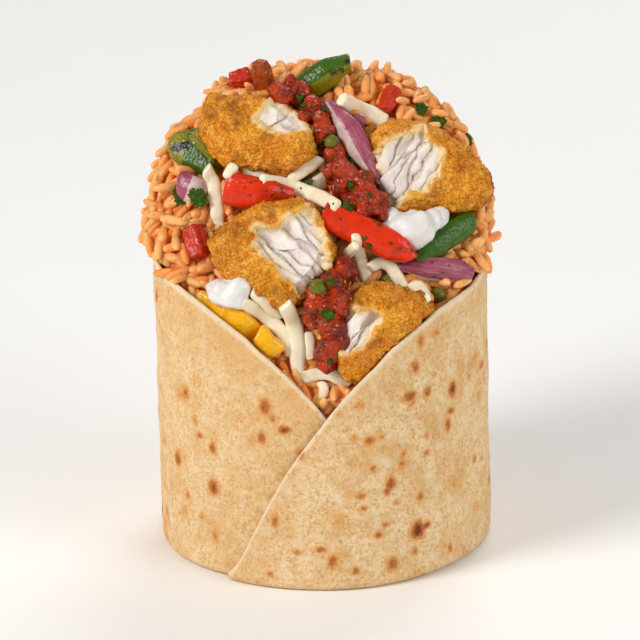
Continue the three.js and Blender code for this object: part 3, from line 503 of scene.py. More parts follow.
def beside_line(places, line):
    """Signed distance from a line of places, above zero on its left."""
    corners = np.array(line, float)
    nearest = np.full(len(places), np.inf)
    signed = np.zeros(len(places))
    for start, end in zip(corners[:-1], corners[1:]):
        side = end - start
        away = off_side(places, start, end)
        left = side[0] * (places[:, 1] - start[1]) - side[1] * (places[:, 0] - start[0])
        signed = np.where(away < nearest, np.sign(left) * away, signed)
        nearest = np.minimum(nearest, away)
    return signed


def cloudy(points, size, octaves=2, shift=0.0):
    """Soft noise between about -1 and 1 at points in millimetres."""
    return np.array([noise.fractal(Vector(p) / size + Vector((shift, 0, 0)), 1.0, 2.0, octaves) for p in points])


def pebbles(points, size, shift=0.0):
    """Rounded bumps, 1 at the middle of each and 0 between them."""
    found = [noise.voronoi(Vector(p) / size + Vector((0, shift, 0)))[0] for p in points]
    return np.array([min(1.0, (d[1] - d[0]) * 1.5) for d in found])


# Meshes


def nodes_of(kind):
    """Names of the solids of a kind, in order."""
    return [node for node in sorted(frame["nodes"]) if node.startswith(kind)]


def new_object(name, data):
    made = bpy.data.objects.new(name, data)
    bpy.context.scene.collection.objects.link(made)
    return made


def new_piece(name, points, faces):
    mesh = bpy.data.meshes.new(name)
    mesh.from_pydata([tuple(p) for p in np.asarray(points) * MM], [], faces)
    mesh.validate()
    return new_object(name, mesh)


@contextmanager
def edited(mesh):
    """The editable form of a mesh, written back at the end."""
    form = bmesh.new()
    form.from_mesh(mesh)
    yield form
    form.to_mesh(mesh)
    form.free()


def solid_copy(node, name):
    """A welded copy of a solid, to be shaped further."""
    mesh = frame["nodes"][node].data.copy()
    mesh.name = name
    mesh.materials.clear()
    with edited(mesh) as form:
        bmesh.ops.remove_doubles(form, verts=form.verts, dist=WELD * MM)
    return new_object(name, mesh)


def soften(piece, cell, rounds):
    """Rebuilds a piece from even cells, in millimetres, and rounds its facets off."""
    remesh = piece.modifiers.new("cells", "REMESH")
    remesh.mode = "VOXEL"
    remesh.voxel_size = cell * COARSE * MM
    smooth = piece.modifiers.new("round", "SMOOTH")
    smooth.factor = 0.5
    smooth.iterations = rounds
    view = bpy.context.evaluated_depsgraph_get()
    mesh = bpy.data.meshes.new_from_object(piece.evaluated_get(view))
    piece.modifiers.clear()
    old = piece.data
    piece.data = mesh
    mesh.name = piece.name
    bpy.data.meshes.remove(old)


def points_of(piece):
    found = np.zeros(len(piece.data.vertices) * 3)
    piece.data.vertices.foreach_get("co", found)
    return found.reshape(-1, 3) / MM


def normals_of(piece):
    found = np.zeros(len(piece.data.vertices) * 3, np.float32)
    piece.data.vertex_normals.foreach_get("vector", found)
    return found.reshape(-1, 3).astype(float)


def set_points(piece, points):
    piece.data.vertices.foreach_set("co", (points * MM).ravel())
    piece.data.update()


def push(piece, lift):
    """Moves the surface of a piece out along its normals, in millimetres."""
    set_points(piece, points_of(piece) + normals_of(piece) * np.reshape(lift, (-1, 1)))


def paint(piece, **values):
    """Lays values on the points of a piece, for its material."""
    for name, found in values.items():
        layer = piece.data.attributes.new(name, "FLOAT", "POINT")
        layer.data.foreach_set("value", np.asarray(found, np.float32))


def dress(piece, material, slot, *nodes):
    piece.data.materials.clear()
    piece.data.materials.append(material)
    for face in piece.data.polygons:
        face.use_smooth = True
    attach(piece, "root")
    if nodes:
        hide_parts(*nodes)


def surface_tree(nodes):
    """One search tree over several solids, in millimetres."""
    points = []
    faces = []
    for node in nodes:
        mesh = frame["nodes"][node].data
        start = len(points)
        points += [tuple(v.co / MM) for v in mesh.vertices]
        faces += moved_on((face.vertices for face in mesh.polygons), start)
    return BVHTree.FromPolygons(points, faces)


def pieces_tree():
    """One search tree over the pieces made so far, in millimetres, and the name of each face's piece."""
    solids = set(frame["nodes"].values())
    points = []
    faces = []
    owners = []
    for piece in sorted(bpy.context.scene.objects, key=lambda found: found.name):
        if piece.type == "MESH" and piece not in solids:
            start = len(points)
            points.extend(points_of(piece).tolist())
            faces += moved_on((face.vertices for face in piece.data.polygons), start)
            owners += [piece.name] * len(piece.data.polygons)
    return BVHTree.FromPolygons(points, faces), owners


def line_of_sight(across, up):
    """Direction from the eye through a place of the front view."""
    return unit(ACROSS * across + UPWARD * up - EYE)


def add_lumps(piece, lumps, tree, proud):
    """Lays flat round lumps on the food where the front view shows them, as part of a piece."""
    with edited(piece.data) as form:
        for across, up, size in lumps:
            hit, normal, _, _ = tree.ray_cast(Vector(EYE), Vector(line_of_sight(across, up)))
            turn = normal.to_track_quat("Z", "Y").to_matrix().to_4x4()
            shape = Matrix.Diagonal((size / 2 * MM, size / 2 * MM, size * LUMP_DEPTH * MM, 1.0))
            place = Matrix.Translation((hit + normal * (proud - size * LUMP_SUNK)) * MM)
            bmesh.ops.create_icosphere(form, subdivisions=3, radius=1.0, matrix=place @ turn @ shape)


def clearance(tree, point):
    """Distance from a closed surface, below zero inside it."""
    place, normal, _, away = tree.find_nearest(Vector(point))
    return away if (Vector(point) - place).dot(normal) >= 0 else -away


def disc_pair_faces(rings, sides, flipped=False):
    """Faces of two discs of rings round a middle point, one over the other and joined at their rims."""
    half = 1 + rings * sides
    faces = []
    for base, turned in ((0, flipped), (half, not flipped)):
        for side in range(sides):
            nxt = (side + 1) % sides
            found = [(base, base + 1 + side, base + 1 + nxt)]
            for ring in range(rings - 1):
                a = base + 1 + ring * sides
                b = a + sides
                found.append((a + side, b + side, b + nxt, a + nxt))
            faces += [face[::-1] if turned else face for face in found]
    rim = half - sides
    for side in range(sides):
        nxt = (side + 1) % sides
        first, second = (nxt, side) if flipped else (side, nxt)
        faces.append((rim + first, half + rim + first, half + rim + second, rim + second))
    return faces


# Material parts


def new_group(name, inputs, outputs):
    group = bpy.data.node_groups.new(name, "ShaderNodeTree")
    for label, kind, value in inputs:
        group.interface.new_socket(label, in_out="INPUT", socket_type=kind).default_value = value
    for label, kind in outputs:
        group.interface.new_socket(label, in_out="OUTPUT", socket_type=kind)
    source = group.nodes.new("NodeGroupInput")
    target = group.nodes.new("NodeGroupOutput")
    return group, source, target


def shared(make):
    """Makes a node group the first time, and finds it by its name from then on."""
    name = make.__name__.removesuffix("_group")

    def find():
        if name not in bpy.data.node_groups:
            make(name)
        return bpy.data.node_groups[name]

    return find


def add(tree, kind, values=None, links=None, **options):
    node = tree.nodes.new(kind)
    for key, value in options.items():
        setattr(node, key, value)
    for key, value in (values or {}).items():
        node.inputs[key].default_value = value
    for key, socket in (links or {}).items():
        tree.links.new(socket, node.inputs[key])
    return node


def object_place(tree):
    return add(tree, "ShaderNodeTexCoord").outputs["Object"]


@shared
def mottle_group(name):
    """Two colours in soft irregular patches."""
    group, source, target = new_group(
        name,
        (("First", "NodeSocketColor", (1, 1, 1, 1)), ("Second", "NodeSocketColor", (0, 0, 0, 1)),
         ("Patches", "NodeSocketFloat", 300.0), ("Middle", "NodeSocketFloat", 0.5),
         ("Softness", "NodeSocketFloat", 0.2)),
        (("Colour", "NodeSocketColor"), ("Mask", "NodeSocketFloat")),
    )
    cloud = add(group, "ShaderNodeTexNoise", {"Detail": 5.0, "Roughness": 0.62},
                {"Vector": object_place(group), "Scale": source.outputs["Patches"]})
    low = add(group, "ShaderNodeMath", operation="SUBTRACT",
              links={0: source.outputs["Middle"], 1: source.outputs["Softness"]})
    high = add(group, "ShaderNodeMath", operation="ADD",
               links={0: source.outputs["Middle"], 1: source.outputs["Softness"]})
    mask = add(group, "ShaderNodeMapRange", interpolation_type="SMOOTHSTEP",
               links={"Value": cloud.outputs["Fac"], "From Min": low.outputs[0], "From Max": high.outputs[0]})
    mix = add(group, "ShaderNodeMix", data_type="RGBA",
              links={"Factor": mask.outputs["Result"], "A": source.outputs["First"], "B": source.outputs["Second"]})
    group.links.new(mix.outputs["Result"], target.inputs["Colour"])
    group.links.new(mask.outputs["Result"], target.inputs["Mask"])


@shared
def pebble_group(name):
    """Rounded crumbs or bumps as a height."""
    group, source, target = new_group(
        name,
        (("Count", "NodeSocketFloat", 900.0), ("Warp", "NodeSocketFloat", 0.0006)),
        (("Height", "NodeSocketFloat"), ("Tint", "NodeSocketFloat")),
    )
    place = object_place(group)
    warp = add(group, "ShaderNodeTexNoise", {"Scale": 700.0, "Detail": 2.0}, {"Vector": place})
    shift = add(group, "ShaderNodeVectorMath", {1: (0.5, 0.5, 0.5)}, {0: warp.outputs["Color"]},
                operation="SUBTRACT")
    scaled = add(group, "ShaderNodeVectorMath", None,
                 {0: shift.outputs[0], "Scale": source.outputs["Warp"]}, operation="SCALE")
    moved = add(group, "ShaderNodeVectorMath", None, {0: place, 1: scaled.outputs[0]}, operation="ADD")
    cells = add(group, "ShaderNodeTexVoronoi", None,
                {"Vector": moved.outputs[0], "Scale": source.outputs["Count"]}, feature="F1")
    height = add(group, "ShaderNodeMath", {0: 1.0}, {1: cells.outputs["Distance"]}, operation="SUBTRACT")
    tint = add(group, "ShaderNodeSeparateColor", None, {0: cells.outputs["Color"]})
    group.links.new(height.outputs[0], target.inputs["Height"])
    group.links.new(tint.outputs[0], target.inputs["Tint"])


@shared
def speckle_group(name):
    """Small scattered specks as a mask."""
    group, source, target = new_group(
        name,
        (("Count", "NodeSocketFloat", 500.0), ("Size", "NodeSocketFloat", 0.2)),
        (("Mask", "NodeSocketFloat"),),
    )
    cells = add(group, "ShaderNodeTexVoronoi", None,
                {"Vector": object_place(group), "Scale": source.outputs["Count"]}, feature="F1")
    soft = add(group, "ShaderNodeMath", {1: 0.6}, {0: source.outputs["Size"]}, operation="MULTIPLY")
    mask = add(group, "ShaderNodeMapRange", {"To Min": 1.0, "To Max": 0.0},
               {"Value": cells.outputs["Distance"], "From Min": soft.outputs[0],
                "From Max": source.outputs["Size"]}, interpolation_type="SMOOTHSTEP")
    group.links.new(mask.outputs["Result"], target.inputs["Mask"])


def new_material(name, roughness, **shader):
    """A material with its Principled shader; values the same all over are set on the shader itself."""
    material = bpy.data.materials.new(name)
    material.use_nodes = True
    tree = material.node_tree
    bsdf = tree.nodes["Principled BSDF"]
    bsdf.inputs["Roughness"].default_value = roughness
    for key, value in shader.items():
        bsdf.inputs[key.replace("_", " ")].default_value = value
    return material, tree, bsdf


def grouped(tree, group, values=None, links=None):
    return add(tree, "ShaderNodeGroup", values, links, node_tree=group)


def solid_colour(colour):
    return (*colour, 1.0)


def mottle(tree, patches, middle=0.5, softness=0.2, colours=()):
    values = {"Patches": patches, "Middle": middle, "Softness": softness}
    for key, colour in zip(("First", "Second"), colours):
        values[key] = solid_colour(colour)
    return grouped(tree, mottle_group(), values)


def pebbled(tree, count, warp):
    return grouped(tree, pebble_group(), {"Count": count, "Warp": warp})


def speckled(tree, count, size):
    return grouped(tree, speckle_group(), {"Count": count, "Size": size}).outputs["Mask"]


def give(tree, socket, given):
    """Feeds a socket from another one, or sets it to a plain value."""
    if isinstance(given, bpy.types.NodeSocket):
        tree.links.new(given, socket)
    else:
        socket.default_value = given


def combined(tree, operation, first, second):
    node = add(tree, "ShaderNodeMath", operation=operation)
    for index, given in enumerate((first, second)):
        give(tree, node.inputs[index], given)
    return node.outputs[0]


def times(tree, first, second):
    return combined(tree, "MULTIPLY", first, second)


def mixed(tree, factor, first, second):
    """A mix of two colours; each is a socket or a plain colour."""
    node = add(tree, "ShaderNodeMix", None, {"Factor": factor}, data_type="RGBA")
    for key, given in (("A", first), ("B", second)):
        give(tree, node.inputs[key], given if isinstance(given, bpy.types.NodeSocket) else solid_colour(given))
    return node.outputs["Result"]


def laid_over(tree, colour, over, mask, share):
    """A colour with another one over it, by a share of a mask."""
    return mixed(tree, times(tree, mask, share), colour, over)


def attribute(tree, name):
    return add(tree, "ShaderNodeAttribute", attribute_name=name).outputs["Fac"]


def ranged(tree, value, low, high):
    """A value eased from 0 at one limit to 1 at the other."""
    node = add(tree, "ShaderNodeMapRange", {"From Min": low, "From Max": high}, {"Value": value},
               interpolation_type="SMOOTHSTEP")
    return node.outputs["Result"]


def bumped(tree, bsdf, height, depth, strength=1.0):
    node = add(tree, "ShaderNodeBump", {"Distance": depth * MM, "Strength": strength}, {"Height": height})
    tree.links.new(node.outputs["Normal"], bsdf.inputs["Normal"])


# Tortilla


def tortilla_material():
    look = bpy.context.scene.burrito_wrap
    material, tree, bsdf = new_material("baked_dough", 0.75, Subsurface_Weight=0.08, Subsurface_Scale=0.001,
                                        Specular_IOR_Level=0.2)
    patches = mottle(tree, 110.0, 0.56, 0.2, (look.pale, look.golden))
    fine = mottle(tree, 800.0, 0.54, 0.13).outputs["Mask"]
    pores = mottle(tree, 1500.0, 0.58, 0.1).outputs["Mask"]
    dough = laid_over(tree, patches.outputs["Colour"], look.golden, fine, 0.6)
    dough = laid_over(tree, dough, look.pore, pores, 0.75)
    upright = add(tree, "ShaderNodeMapping", {"Scale": (1.0, 1.0, 0.22)}, {"Vector": object_place(tree)})
    crease = add(tree, "ShaderNodeTexNoise", {"Scale": 1500.0, "Detail": 3.0}, {"Vector": upright.outputs[0]})
    creases = ranged(tree, crease.outputs["Fac"], 0.58, 0.75)
    # painted shade: the fine vertical creases are darkened with the pore colour
    dough = laid_over(tree, dough, look.pore, creases, 0.45)
    dough = laid_over(tree, dough, look.rim, mottle(tree, 260.0, 0.6, 0.14).outputs["Mask"], 0.65)
    # painted shade: golden laid just below the top edge and over the inner layer beside the flap
    dough = laid_over(tree, dough, look.golden, attribute(tree, "glow"), 0.75)
    # painted highlight: the rim colour laid along the rounded top edge of the sheet
    dough = laid_over(tree, dough, look.rim, attribute(tree, "lip"), 0.8)
    dough = laid_over(tree, dough, look.toast, speckled(tree, 420.0, 0.2), 0.35)
    edge = mottle(tree, 1500.0, 0.5, 0.5).outputs["Mask"]
    island = mottle(tree, 620.0, 0.5, 0.35).outputs["Mask"]
    ragged = times(tree, combined(tree, "SUBTRACT", edge, 0.5), 0.34)
    broken = times(tree, combined(tree, "SUBTRACT", island, 0.5), 0.42)
    toast = times(tree, attribute(tree, "toast"), combined(tree, "ADD", 1.0, broken))
    toast = combined(tree, "ADD", toast, times(tree, ragged, ranged(tree, toast, 0.02, 0.3)))
    colour = laid_over(tree, dough, look.glow, ranged(tree, toast, 0.08, 0.42), 0.6)
    colour = laid_over(tree, colour, look.toast, ranged(tree, toast, 0.34, 0.72), 0.85)
    colour = mixed(tree, ranged(tree, toast, 0.66, 1.05), colour, look.burnt)
    tree.links.new(colour, bsdf.inputs["Base Color"])
    grain = pebbled(tree, 1100.0, 0.0009)
    height = combined(tree, "ADD", times(tree, grain.outputs["Height"], 0.5), fine)
    for hollow in (pores, creases):
        height = combined(tree, "SUBTRACT", height, times(tree, hollow, 0.6))
    bumped(tree, bsdf, height, 0.2, 0.65)
    return material


def toast_spots():
    """Turn, height, size and darkness of every toasted spot."""
    spots = [(*on_wrap(across, up), size, dark) for across, up, size, dark in LEFT_SPOTS + FLAP_SPOTS]
    shown = len(spots)
    draw = random.Random(SPOT_SEED)
    while len(spots) < shown + HIDDEN_SPOTS:
        turn = draw.uniform(75, 285)
        height = draw.uniform(*SPOT_HEIGHTS)
        for _ in range(draw.randint(1, 3)):
            spots.append((turn + draw.gauss(0, 4), height + draw.gauss(0, 3), draw.uniform(1.3, 3.0),
                          draw.uniform(0.4, 1.0)))
    for _ in range(FAINT_SPOTS):
        spots.append((draw.uniform(-60, 300), draw.uniform(*SPOT_HEIGHTS), draw.uniform(1.4, 3.8),
                      draw.uniform(0.22, 0.46)))
    return spots


def toast_at(turn, height):
    """How toasted points of the sheet are. A spot shows on every layer that passes it."""
    toast = np.zeros(len(turn))
    for spot_turn, spot_height, size, dark in toast_spots():
        around = (turn - spot_turn + 180) % 360 - 180
        across = np.radians(around) * WRAP_RADIUS
        lean = 0.22 * math.sin(spot_turn * 3.1 + spot_height)
        near = (across * (1 + lean)) ** 2 + ((height - spot_height) * (1 - lean)) ** 2
        toast = np.maximum(toast, dark * np.exp(-near / (0.68 * size) ** 2 * 0.8))
    return toast


def sheet_mesh(step):
    """Points, faces and place values of the rolled sheet."""
    turns = np.arange(FLAP_FROM, SHEET_TO + 0.01, math.degrees(step / WRAP_RADIUS))
    rows = int(max(height for _, height in SHEET_EDGE) / step)
    inner_rows = 24
    bend = np.radians(np.linspace(90, -90, 7)[1:-1])
    ragged = cloudy(np.stack([turns * 0.73, turns * 0, turns * 0], axis=1), 9.0, 3)
    edge = np.maximum(edge_height(turns) + 0.3 * ragged, 1.0)
    half = np.minimum(EDGE_THICK / 2, edge / 2)
    body = edge - half
    points = []
    places = []
    for turn, low, cap in zip(turns, body, half):
        outside = float(sheet_outside(turn))
        shares = [(outside, low * k / (rows - 1)) for k in range(rows)]
        shares += [(outside - EDGE_THICK / 2 * (1 - math.sin(a)), low + cap * math.cos(a)) for a in bend]
        for k in range(inner_rows):
            share = (k / (inner_rows - 1)) ** 1.5
            thick = EDGE_THICK + (SHEET - EDGE_THICK) * float(smooth_step(0, 7, low * share))
            shares.append((outside - thick, low * (1 - share)))
        for radius, height in shares:
            points.append((radius - float(tuck_in(height)), turn, height))
            places.append((turn, height, low))
    polar = np.array(points)
    places = np.array(places)
    count = rows + len(bend) + inner_rows
    angle = np.radians(polar[:, 1])
    flat = np.stack([WRAP_RADIUS * np.sin(angle), -WRAP_RADIUS * np.cos(angle), polar[:, 2]], axis=1)
    wave = 0.35 * cloudy(flat, 16.0, 2) + 0.16 * cloudy(flat, 4.0, 2, 5.0)
    rise = smooth_step(0.5, 6, polar[:, 2])
    toast = toast_at(places[:, 0], places[:, 1])
    radius = polar[:, 0] + (wave + 0.18 * toast) * rise
    sheet = np.stack([radius * np.sin(angle), -radius * np.cos(angle), polar[:, 2]], axis=1)
    faces = []
    for column in range(len(turns) - 1):
        first, second = column * count, (column + 1) * count
        for k in range(count):
            nxt = (k + 1) % count
            faces.append((first + k, second + k, second + nxt, first + nxt))
    last = (len(turns) - 1) * count
    faces.append(tuple(range(count)))
    faces.append(tuple(last + k for k in reversed(range(count))))
    side = np.tile(np.arange(count), len(turns))
    below = places[:, 2] - polar[:, 2]
    # lip: a painted highlight along the rounded top edge, on the outside and round its bend
    lip = smooth_step(1.5, 0.1, below) * (side <= rows + len(bend))
    toast = toast * (side < rows)
    # painted shade just below the top edge and on the inner layer beside and under the flap, strongest near its top
    cloud = 0.5 + 0.5 * cloudy(flat, 13.0, 2, 3.0)
    lap = smooth_step(285, 310, places[:, 0]) * (0.35 + 0.65 * smooth_step(45, 12, below))
    glow = np.clip(smooth_step(14, 3, below) * 0.3 + lap * cloud, 0, 1)
    return sheet, faces, {"toast": toast, "lip": lip, "glow": glow}


def floor_mesh():
    """The closed end: a flat foot with the creases of the folded sheet."""
    rings = 26
    sides = 96
    points = [(0.0, 0.0, 0.35)]
    for ring in range(1, rings + 1):
        share = ring / rings
        for side in range(sides):
            angle = 2 * math.pi * side / sides
            radius = (WRAP_RADIUS - SHEET * 0.6 - TUCK) * share
            x, y = radius * math.sin(angle), -radius * math.cos(angle)
            crease = min(abs(x * 0.8 + y * 0.6 - 9), abs(x * 0.9 - y * 0.44 + 12), abs(y - 0.1 * x - 20))
            points.append((x, y, 0.35 * float(smooth_step(0.9, 0.1, crease))))
    points += [(x, y, FLOOR) for x, y, _ in points]
    return np.array(points), disc_pair_faces(rings, sides)


class BURRITO_OT_tortilla(bpy.types.Operator):
    """Make the rolled tortilla with its lapped flap, tucked foot and toasted spots"""

    bl_idname = "burrito.tortilla"
    bl_label = "Tortilla"

    def execute(self, context):
        step = context.scene.burrito_wrap.step / MM * COARSE
        points, faces, values = sheet_mesh(step)
        floor_points, floor_faces = floor_mesh()
        faces += moved_on(floor_faces, len(points))
        piece = new_piece("tortilla_sheet", np.vstack([points, floor_points]), faces)
        paint(piece, **{name: np.r_[found, np.zeros(len(floor_points))] for name, found in values.items()})
        dress(piece, tortilla_material(), "tortilla", "tortilla")
        return {"FINISHED"}


# Rice


def rice_materials():
    look = bpy.context.scene.burrito_rice
    grain, tree, bsdf = new_material("cooked_rice", 0.34, Subsurface_Weight=0.4, Subsurface_Scale=0.0014,
                                     Specular_IOR_Level=0.22)
    tint = attribute(tree, "tint")
    patches = mottle(tree, 700.0, 0.5, 0.3).outputs["Mask"]
    shade = combined(tree, "ADD", times(tree, patches, 0.3), times(tree, tint, 0.75))
    colour = mixed(tree, shade, look.pale, look.deep)
    # painted light: the grain ends are drawn paler, as if light shone through them
    paler = tuple(min(1.0, c * 1.25) for c in look.pale)
    colour = laid_over(tree, colour, paler, attribute(tree, "tip"), 0.22)
    colour = laid_over(tree, colour, look.speck, speckled(tree, 620.0, 0.17), 0.5)
    tree.links.new(colour, bsdf.inputs["Base Color"])
    bumped(tree, bsdf, patches, 0.12, 0.6)
    core, tree, bsdf = new_material("rice_bed", 0.5, Subsurface_Weight=0.1, Subsurface_Scale=0.001)
    pebble = pebbled(tree, 450.0, 0.002)
    dark = tuple(c * 0.85 for c in look.deep)
    tree.links.new(mixed(tree, pebble.outputs["Tint"], look.deep, dark), bsdf.inputs["Base Color"])
    bumped(tree, bsdf, pebble.outputs["Height"], 0.6, 0.8)
    return grain, core


def grain_form():
    """A unit grain along X: points and faces."""
    sides, rings = GRAIN_SIDES, GRAIN_RINGS
    points = [(-0.5, 0.0, 0.0)]
    for ring in range(rings):
        x = -0.5 * math.cos(math.pi * (ring + 0.75) / (rings + 0.5))
        radius = 0.5 * (1 - abs(2 * x) ** 3.2 * 0.95) ** 0.5
        for side in range(sides):
            angle = 2 * math.pi * side / sides
            points.append((x, radius * math.cos(angle), radius * math.sin(angle)))
    points.append((0.5, 0.0, 0.0))
    faces = []
    last = len(points) - 1
    for side in range(sides):
        nxt = (side + 1) % sides
        faces.append((0, 1 + nxt, 1 + side))
        for ring in range(rings - 1):
            a, b = 1 + ring * sides, 1 + (ring + 1) * sides
            faces.append((a + side, a + nxt, b + nxt, b + side))
        end = 1 + (rings - 1) * sides
        faces.append((last, end + side, end + nxt))
    return np.array(points), faces


def spread(piece, count, apart, draw, allowed):
    """Points on a surface at least a distance apart, with their normals."""
    mesh = piece.data
    mesh.calc_loop_triangles()
    points = points_of(piece)
    normals = normals_of(piece)
    corners = np.array([t.vertices for t in mesh.loop_triangles])
    a, b, c = (points[corners[:, k]] for k in range(3))
    areas = np.linalg.norm(np.cross(b - a, c - a), axis=1)
    chosen = draw.choice(len(corners), size=count, p=areas / areas.sum())
    u, v = draw.random(count), draw.random(count)
    flip = u + v > 1
    u, v = np.where(flip, 1 - u, u), np.where(flip, 1 - v, v)
    found = a[chosen] + (b - a)[chosen] * u[:, None] + (c - a)[chosen] * v[:, None]
    facing = normals[corners[chosen]].mean(axis=1)
    facing /= np.linalg.norm(facing, axis=1)[:, None]
    cells = {}
    kept = []
    for point, normal in zip(found, facing):
        key = tuple(int(k) for k in np.floor(point / apart))
        near = [p for dx in (-1, 0, 1) for dy in (-1, 0, 1) for dz in (-1, 0, 1)
                for p in cells.get((key[0] + dx, key[1] + dy, key[2] + dz), ())]
        if any(np.dot(p - point, p - point) < apart * apart for p in near):
            continue
        if not allowed(point, normal):
            continue
        cells.setdefault(key, []).append(point)
        kept.append((point, normal))
    return kept


def lay_grains(core, toppings, wrap):
    """Places every grain of rice: middle, direction, side, length, width, bend and tint."""
    look = bpy.context.scene.burrito_rice
    draw = np.random.default_rng(look.seed)
    length, width = look.grain_length / MM, look.grain_width / MM
    grains = []

    def allowed(point, normal):
        turn = math.degrees(math.atan2(point[0], -point[1]))
        if point[2] <= float(rim_height(turn)) - RICE_BELOW_RIM:
            return False
        return clearance(toppings, point + normal * 0.6) > 0.2

    for layer, (share, lift, tilt, over) in enumerate(RICE_LAYERS):
        for point, normal in spread(core, RICE_DRAWS, look.spacing / MM * share, draw, allowed):
            long = length * draw.uniform(*GRAIN_LENGTHS)
            thick = width * draw.uniform(*GRAIN_WIDTHS)
            middle = point + normal * (lift + draw.uniform(*GRAIN_LIFTS))
            start, other = across_plane(normal, (0.31, 0.77, 0.55))
            for _ in range(RICE_TURNS):
                turn = draw.uniform(0, math.pi * 2)
                along = unit(start * math.cos(turn) + other * math.sin(turn) + normal * draw.uniform(-tilt, tilt))
                ends = [middle + along * long * end for end in (-GRAIN_END, 0, GRAIN_END)]
                if inside_outline(view_places(np.array(ends)), SKYLINE).min() < over:
                    continue
                if all(clearance(toppings, end) > thick * 0.3 for end in ends) and all(
                        clearance(wrap, end) > thick * 0.4 for end in ends):
                    grains.append((middle, along, normal, long, thick, draw.uniform(*GRAIN_BENDS),
                                   # grains of the lower layers lean to the deep colour, those on top to the pale one
                                   float(np.clip(draw.normal(0.42 - 0.12 * layer, 0.24), 0, 1))))
                    break
    return grains


def grains_mesh(grains):
    form, faces = grain_form()
    points = []
    all_faces = []
    tints = []
    painted_tip_glows = []
    for middle, along, normal, long, thick, bend, tint in grains:
        side = unit(np.cross(along, normal))
        up = np.cross(side, along)
        curve = bend * (1 - (2 * form[:, 0]) ** 2)
        placed = (middle + form[:, :1] * long * along + form[:, 1:2] * thick * side
                  + (form[:, 2:3] * thick * 0.92 + curve[:, None] * 0.5) * up)
        all_faces += moved_on(faces, len(points))
        points.extend(placed)
        tints += [tint] * len(form)
        # painted light through the thin grain ends
        painted_tip_glows.extend(smooth_step(0.26, 0.5, np.abs(form[:, 0])))
    return np.array(points), all_faces, {"tint": tints, "tip": painted_tip_glows}


class BURRITO_OT_rice(bpy.types.Operator):
    """Make the heap of rice: a lumpy bed with loose grains over it"""

    bl_idname = "burrito.rice"
    bl_label = "Rice"

    def execute(self, context):
        grain_look, bed_look = rice_materials()
        core = solid_copy("rice", "rice_bed")
        soften(core, *CELLS["rice"])
        others = [node for node in frame["nodes"] if node not in ("rice", "tortilla")]
        push(core, -0.5)
        grains = lay_grains(core, surface_tree(others), surface_tree(["tortilla"]))
        points, faces, values = grains_mesh(grains)
        piece = new_piece("rice_grains", points, faces)
        paint(piece, **values)
        dress(core, bed_look, "rice", "rice")
        dress(piece, grain_look, "rice", "rice")
        return {"FINISHED"}


# Fish


def fish_material():
    look = bpy.context.scene.burrito_fish
    material, tree, bsdf = new_material("breaded_fish", 0.42, Subsurface_Weight=0.1, Subsurface_Scale=0.001,
                                        Specular_IOR_Level=0.16)
    patches = mottle(tree, 330.0, 0.56, 0.13, (look.golden, look.pale))
    crumbs = pebbled(tree, 1700.0, 0.0007)
    crust = mixed(tree, attribute(tree, "sunny"), patches.outputs["Colour"], look.sunny)
    # pale crumbs: partly lighter crumbs, partly painted sparkle highlights on the crust
    crust = laid_over(tree, crust, look.pale, ranged(tree, crumbs.outputs["Tint"], 0.55, 0.95), 0.6)
    crust = laid_over(tree, crust, look.brown, ranged(tree, crumbs.outputs["Tint"], 0.3, 0.05), 0.45)
    crust = mixed(tree, attribute(tree, "browned"), crust, look.brown)
    # painted shade: brown laid in the low gaps between the crumbs
    crust = laid_over(tree, crust, look.brown, ranged(tree, crumbs.outputs["Height"], 0.55, 0.32), 0.34)
    crust = laid_over(tree, crust, look.pale, attribute(tree, "pale"), 0.6)
    crust = laid_over(tree, crust, look.lip, attribute(tree, "lip"), 0.8)
    # painted shade: darker in the grooves between the flakes and on sunken flakes
    flesh = mixed(tree, attribute(tree, "groove"), look.flesh, look.groove)
    flesh = laid_over(tree, flesh, look.lip, attribute(tree, "inner_lip"), 0.6)
    open_part = attribute(tree, "open")
    tree.links.new(mixed(tree, open_part, crust, flesh), bsdf.inputs["Base Color"])
    fibre = add(tree, "ShaderNodeTexNoise", {"Scale": 1500.0, "Detail": 3.0}, {"Vector": object_place(tree)})
    height = add(tree, "ShaderNodeMix", None, {0: open_part, 2: crumbs.outputs["Height"], 3: fibre.outputs["Fac"]},
                 data_type="FLOAT")
    bumped(tree, bsdf, height.outputs[0], 0.34, 0.9)
    return material


def flakes_at(points, places, part):
    """Height and grooves of the flakes: long irregular cells laid along the fish's fibres."""
    slant = math.radians(part["slant"])
    along = places[:, 0] * math.cos(slant) + places[:, 1] * math.sin(slant)
    across = places[:, 1] * math.cos(slant) - places[:, 0] * math.sin(slant)
    bend = 1.1 * cloudy(points, 6.0, 2, 1.0)
    heights = np.zeros(len(points))
    grooves = np.zeros(len(points))
    for k, (a, b, c) in enumerate(zip(along / FLAKE_LONG, (across + bend) / part["flake"], points @ TO_EYE / 9.0)):
        away, found = noise.voronoi(Vector((a, b, c)))
        rise = noise.noise(found[0] * 5.3)
        heights[k] = 1.3 * rise + 1.5 * (b - found[0].y)
        grooves[k] = away[1] - away[0]
    return heights, smooth_step(0.15, 0.03, grooves), across


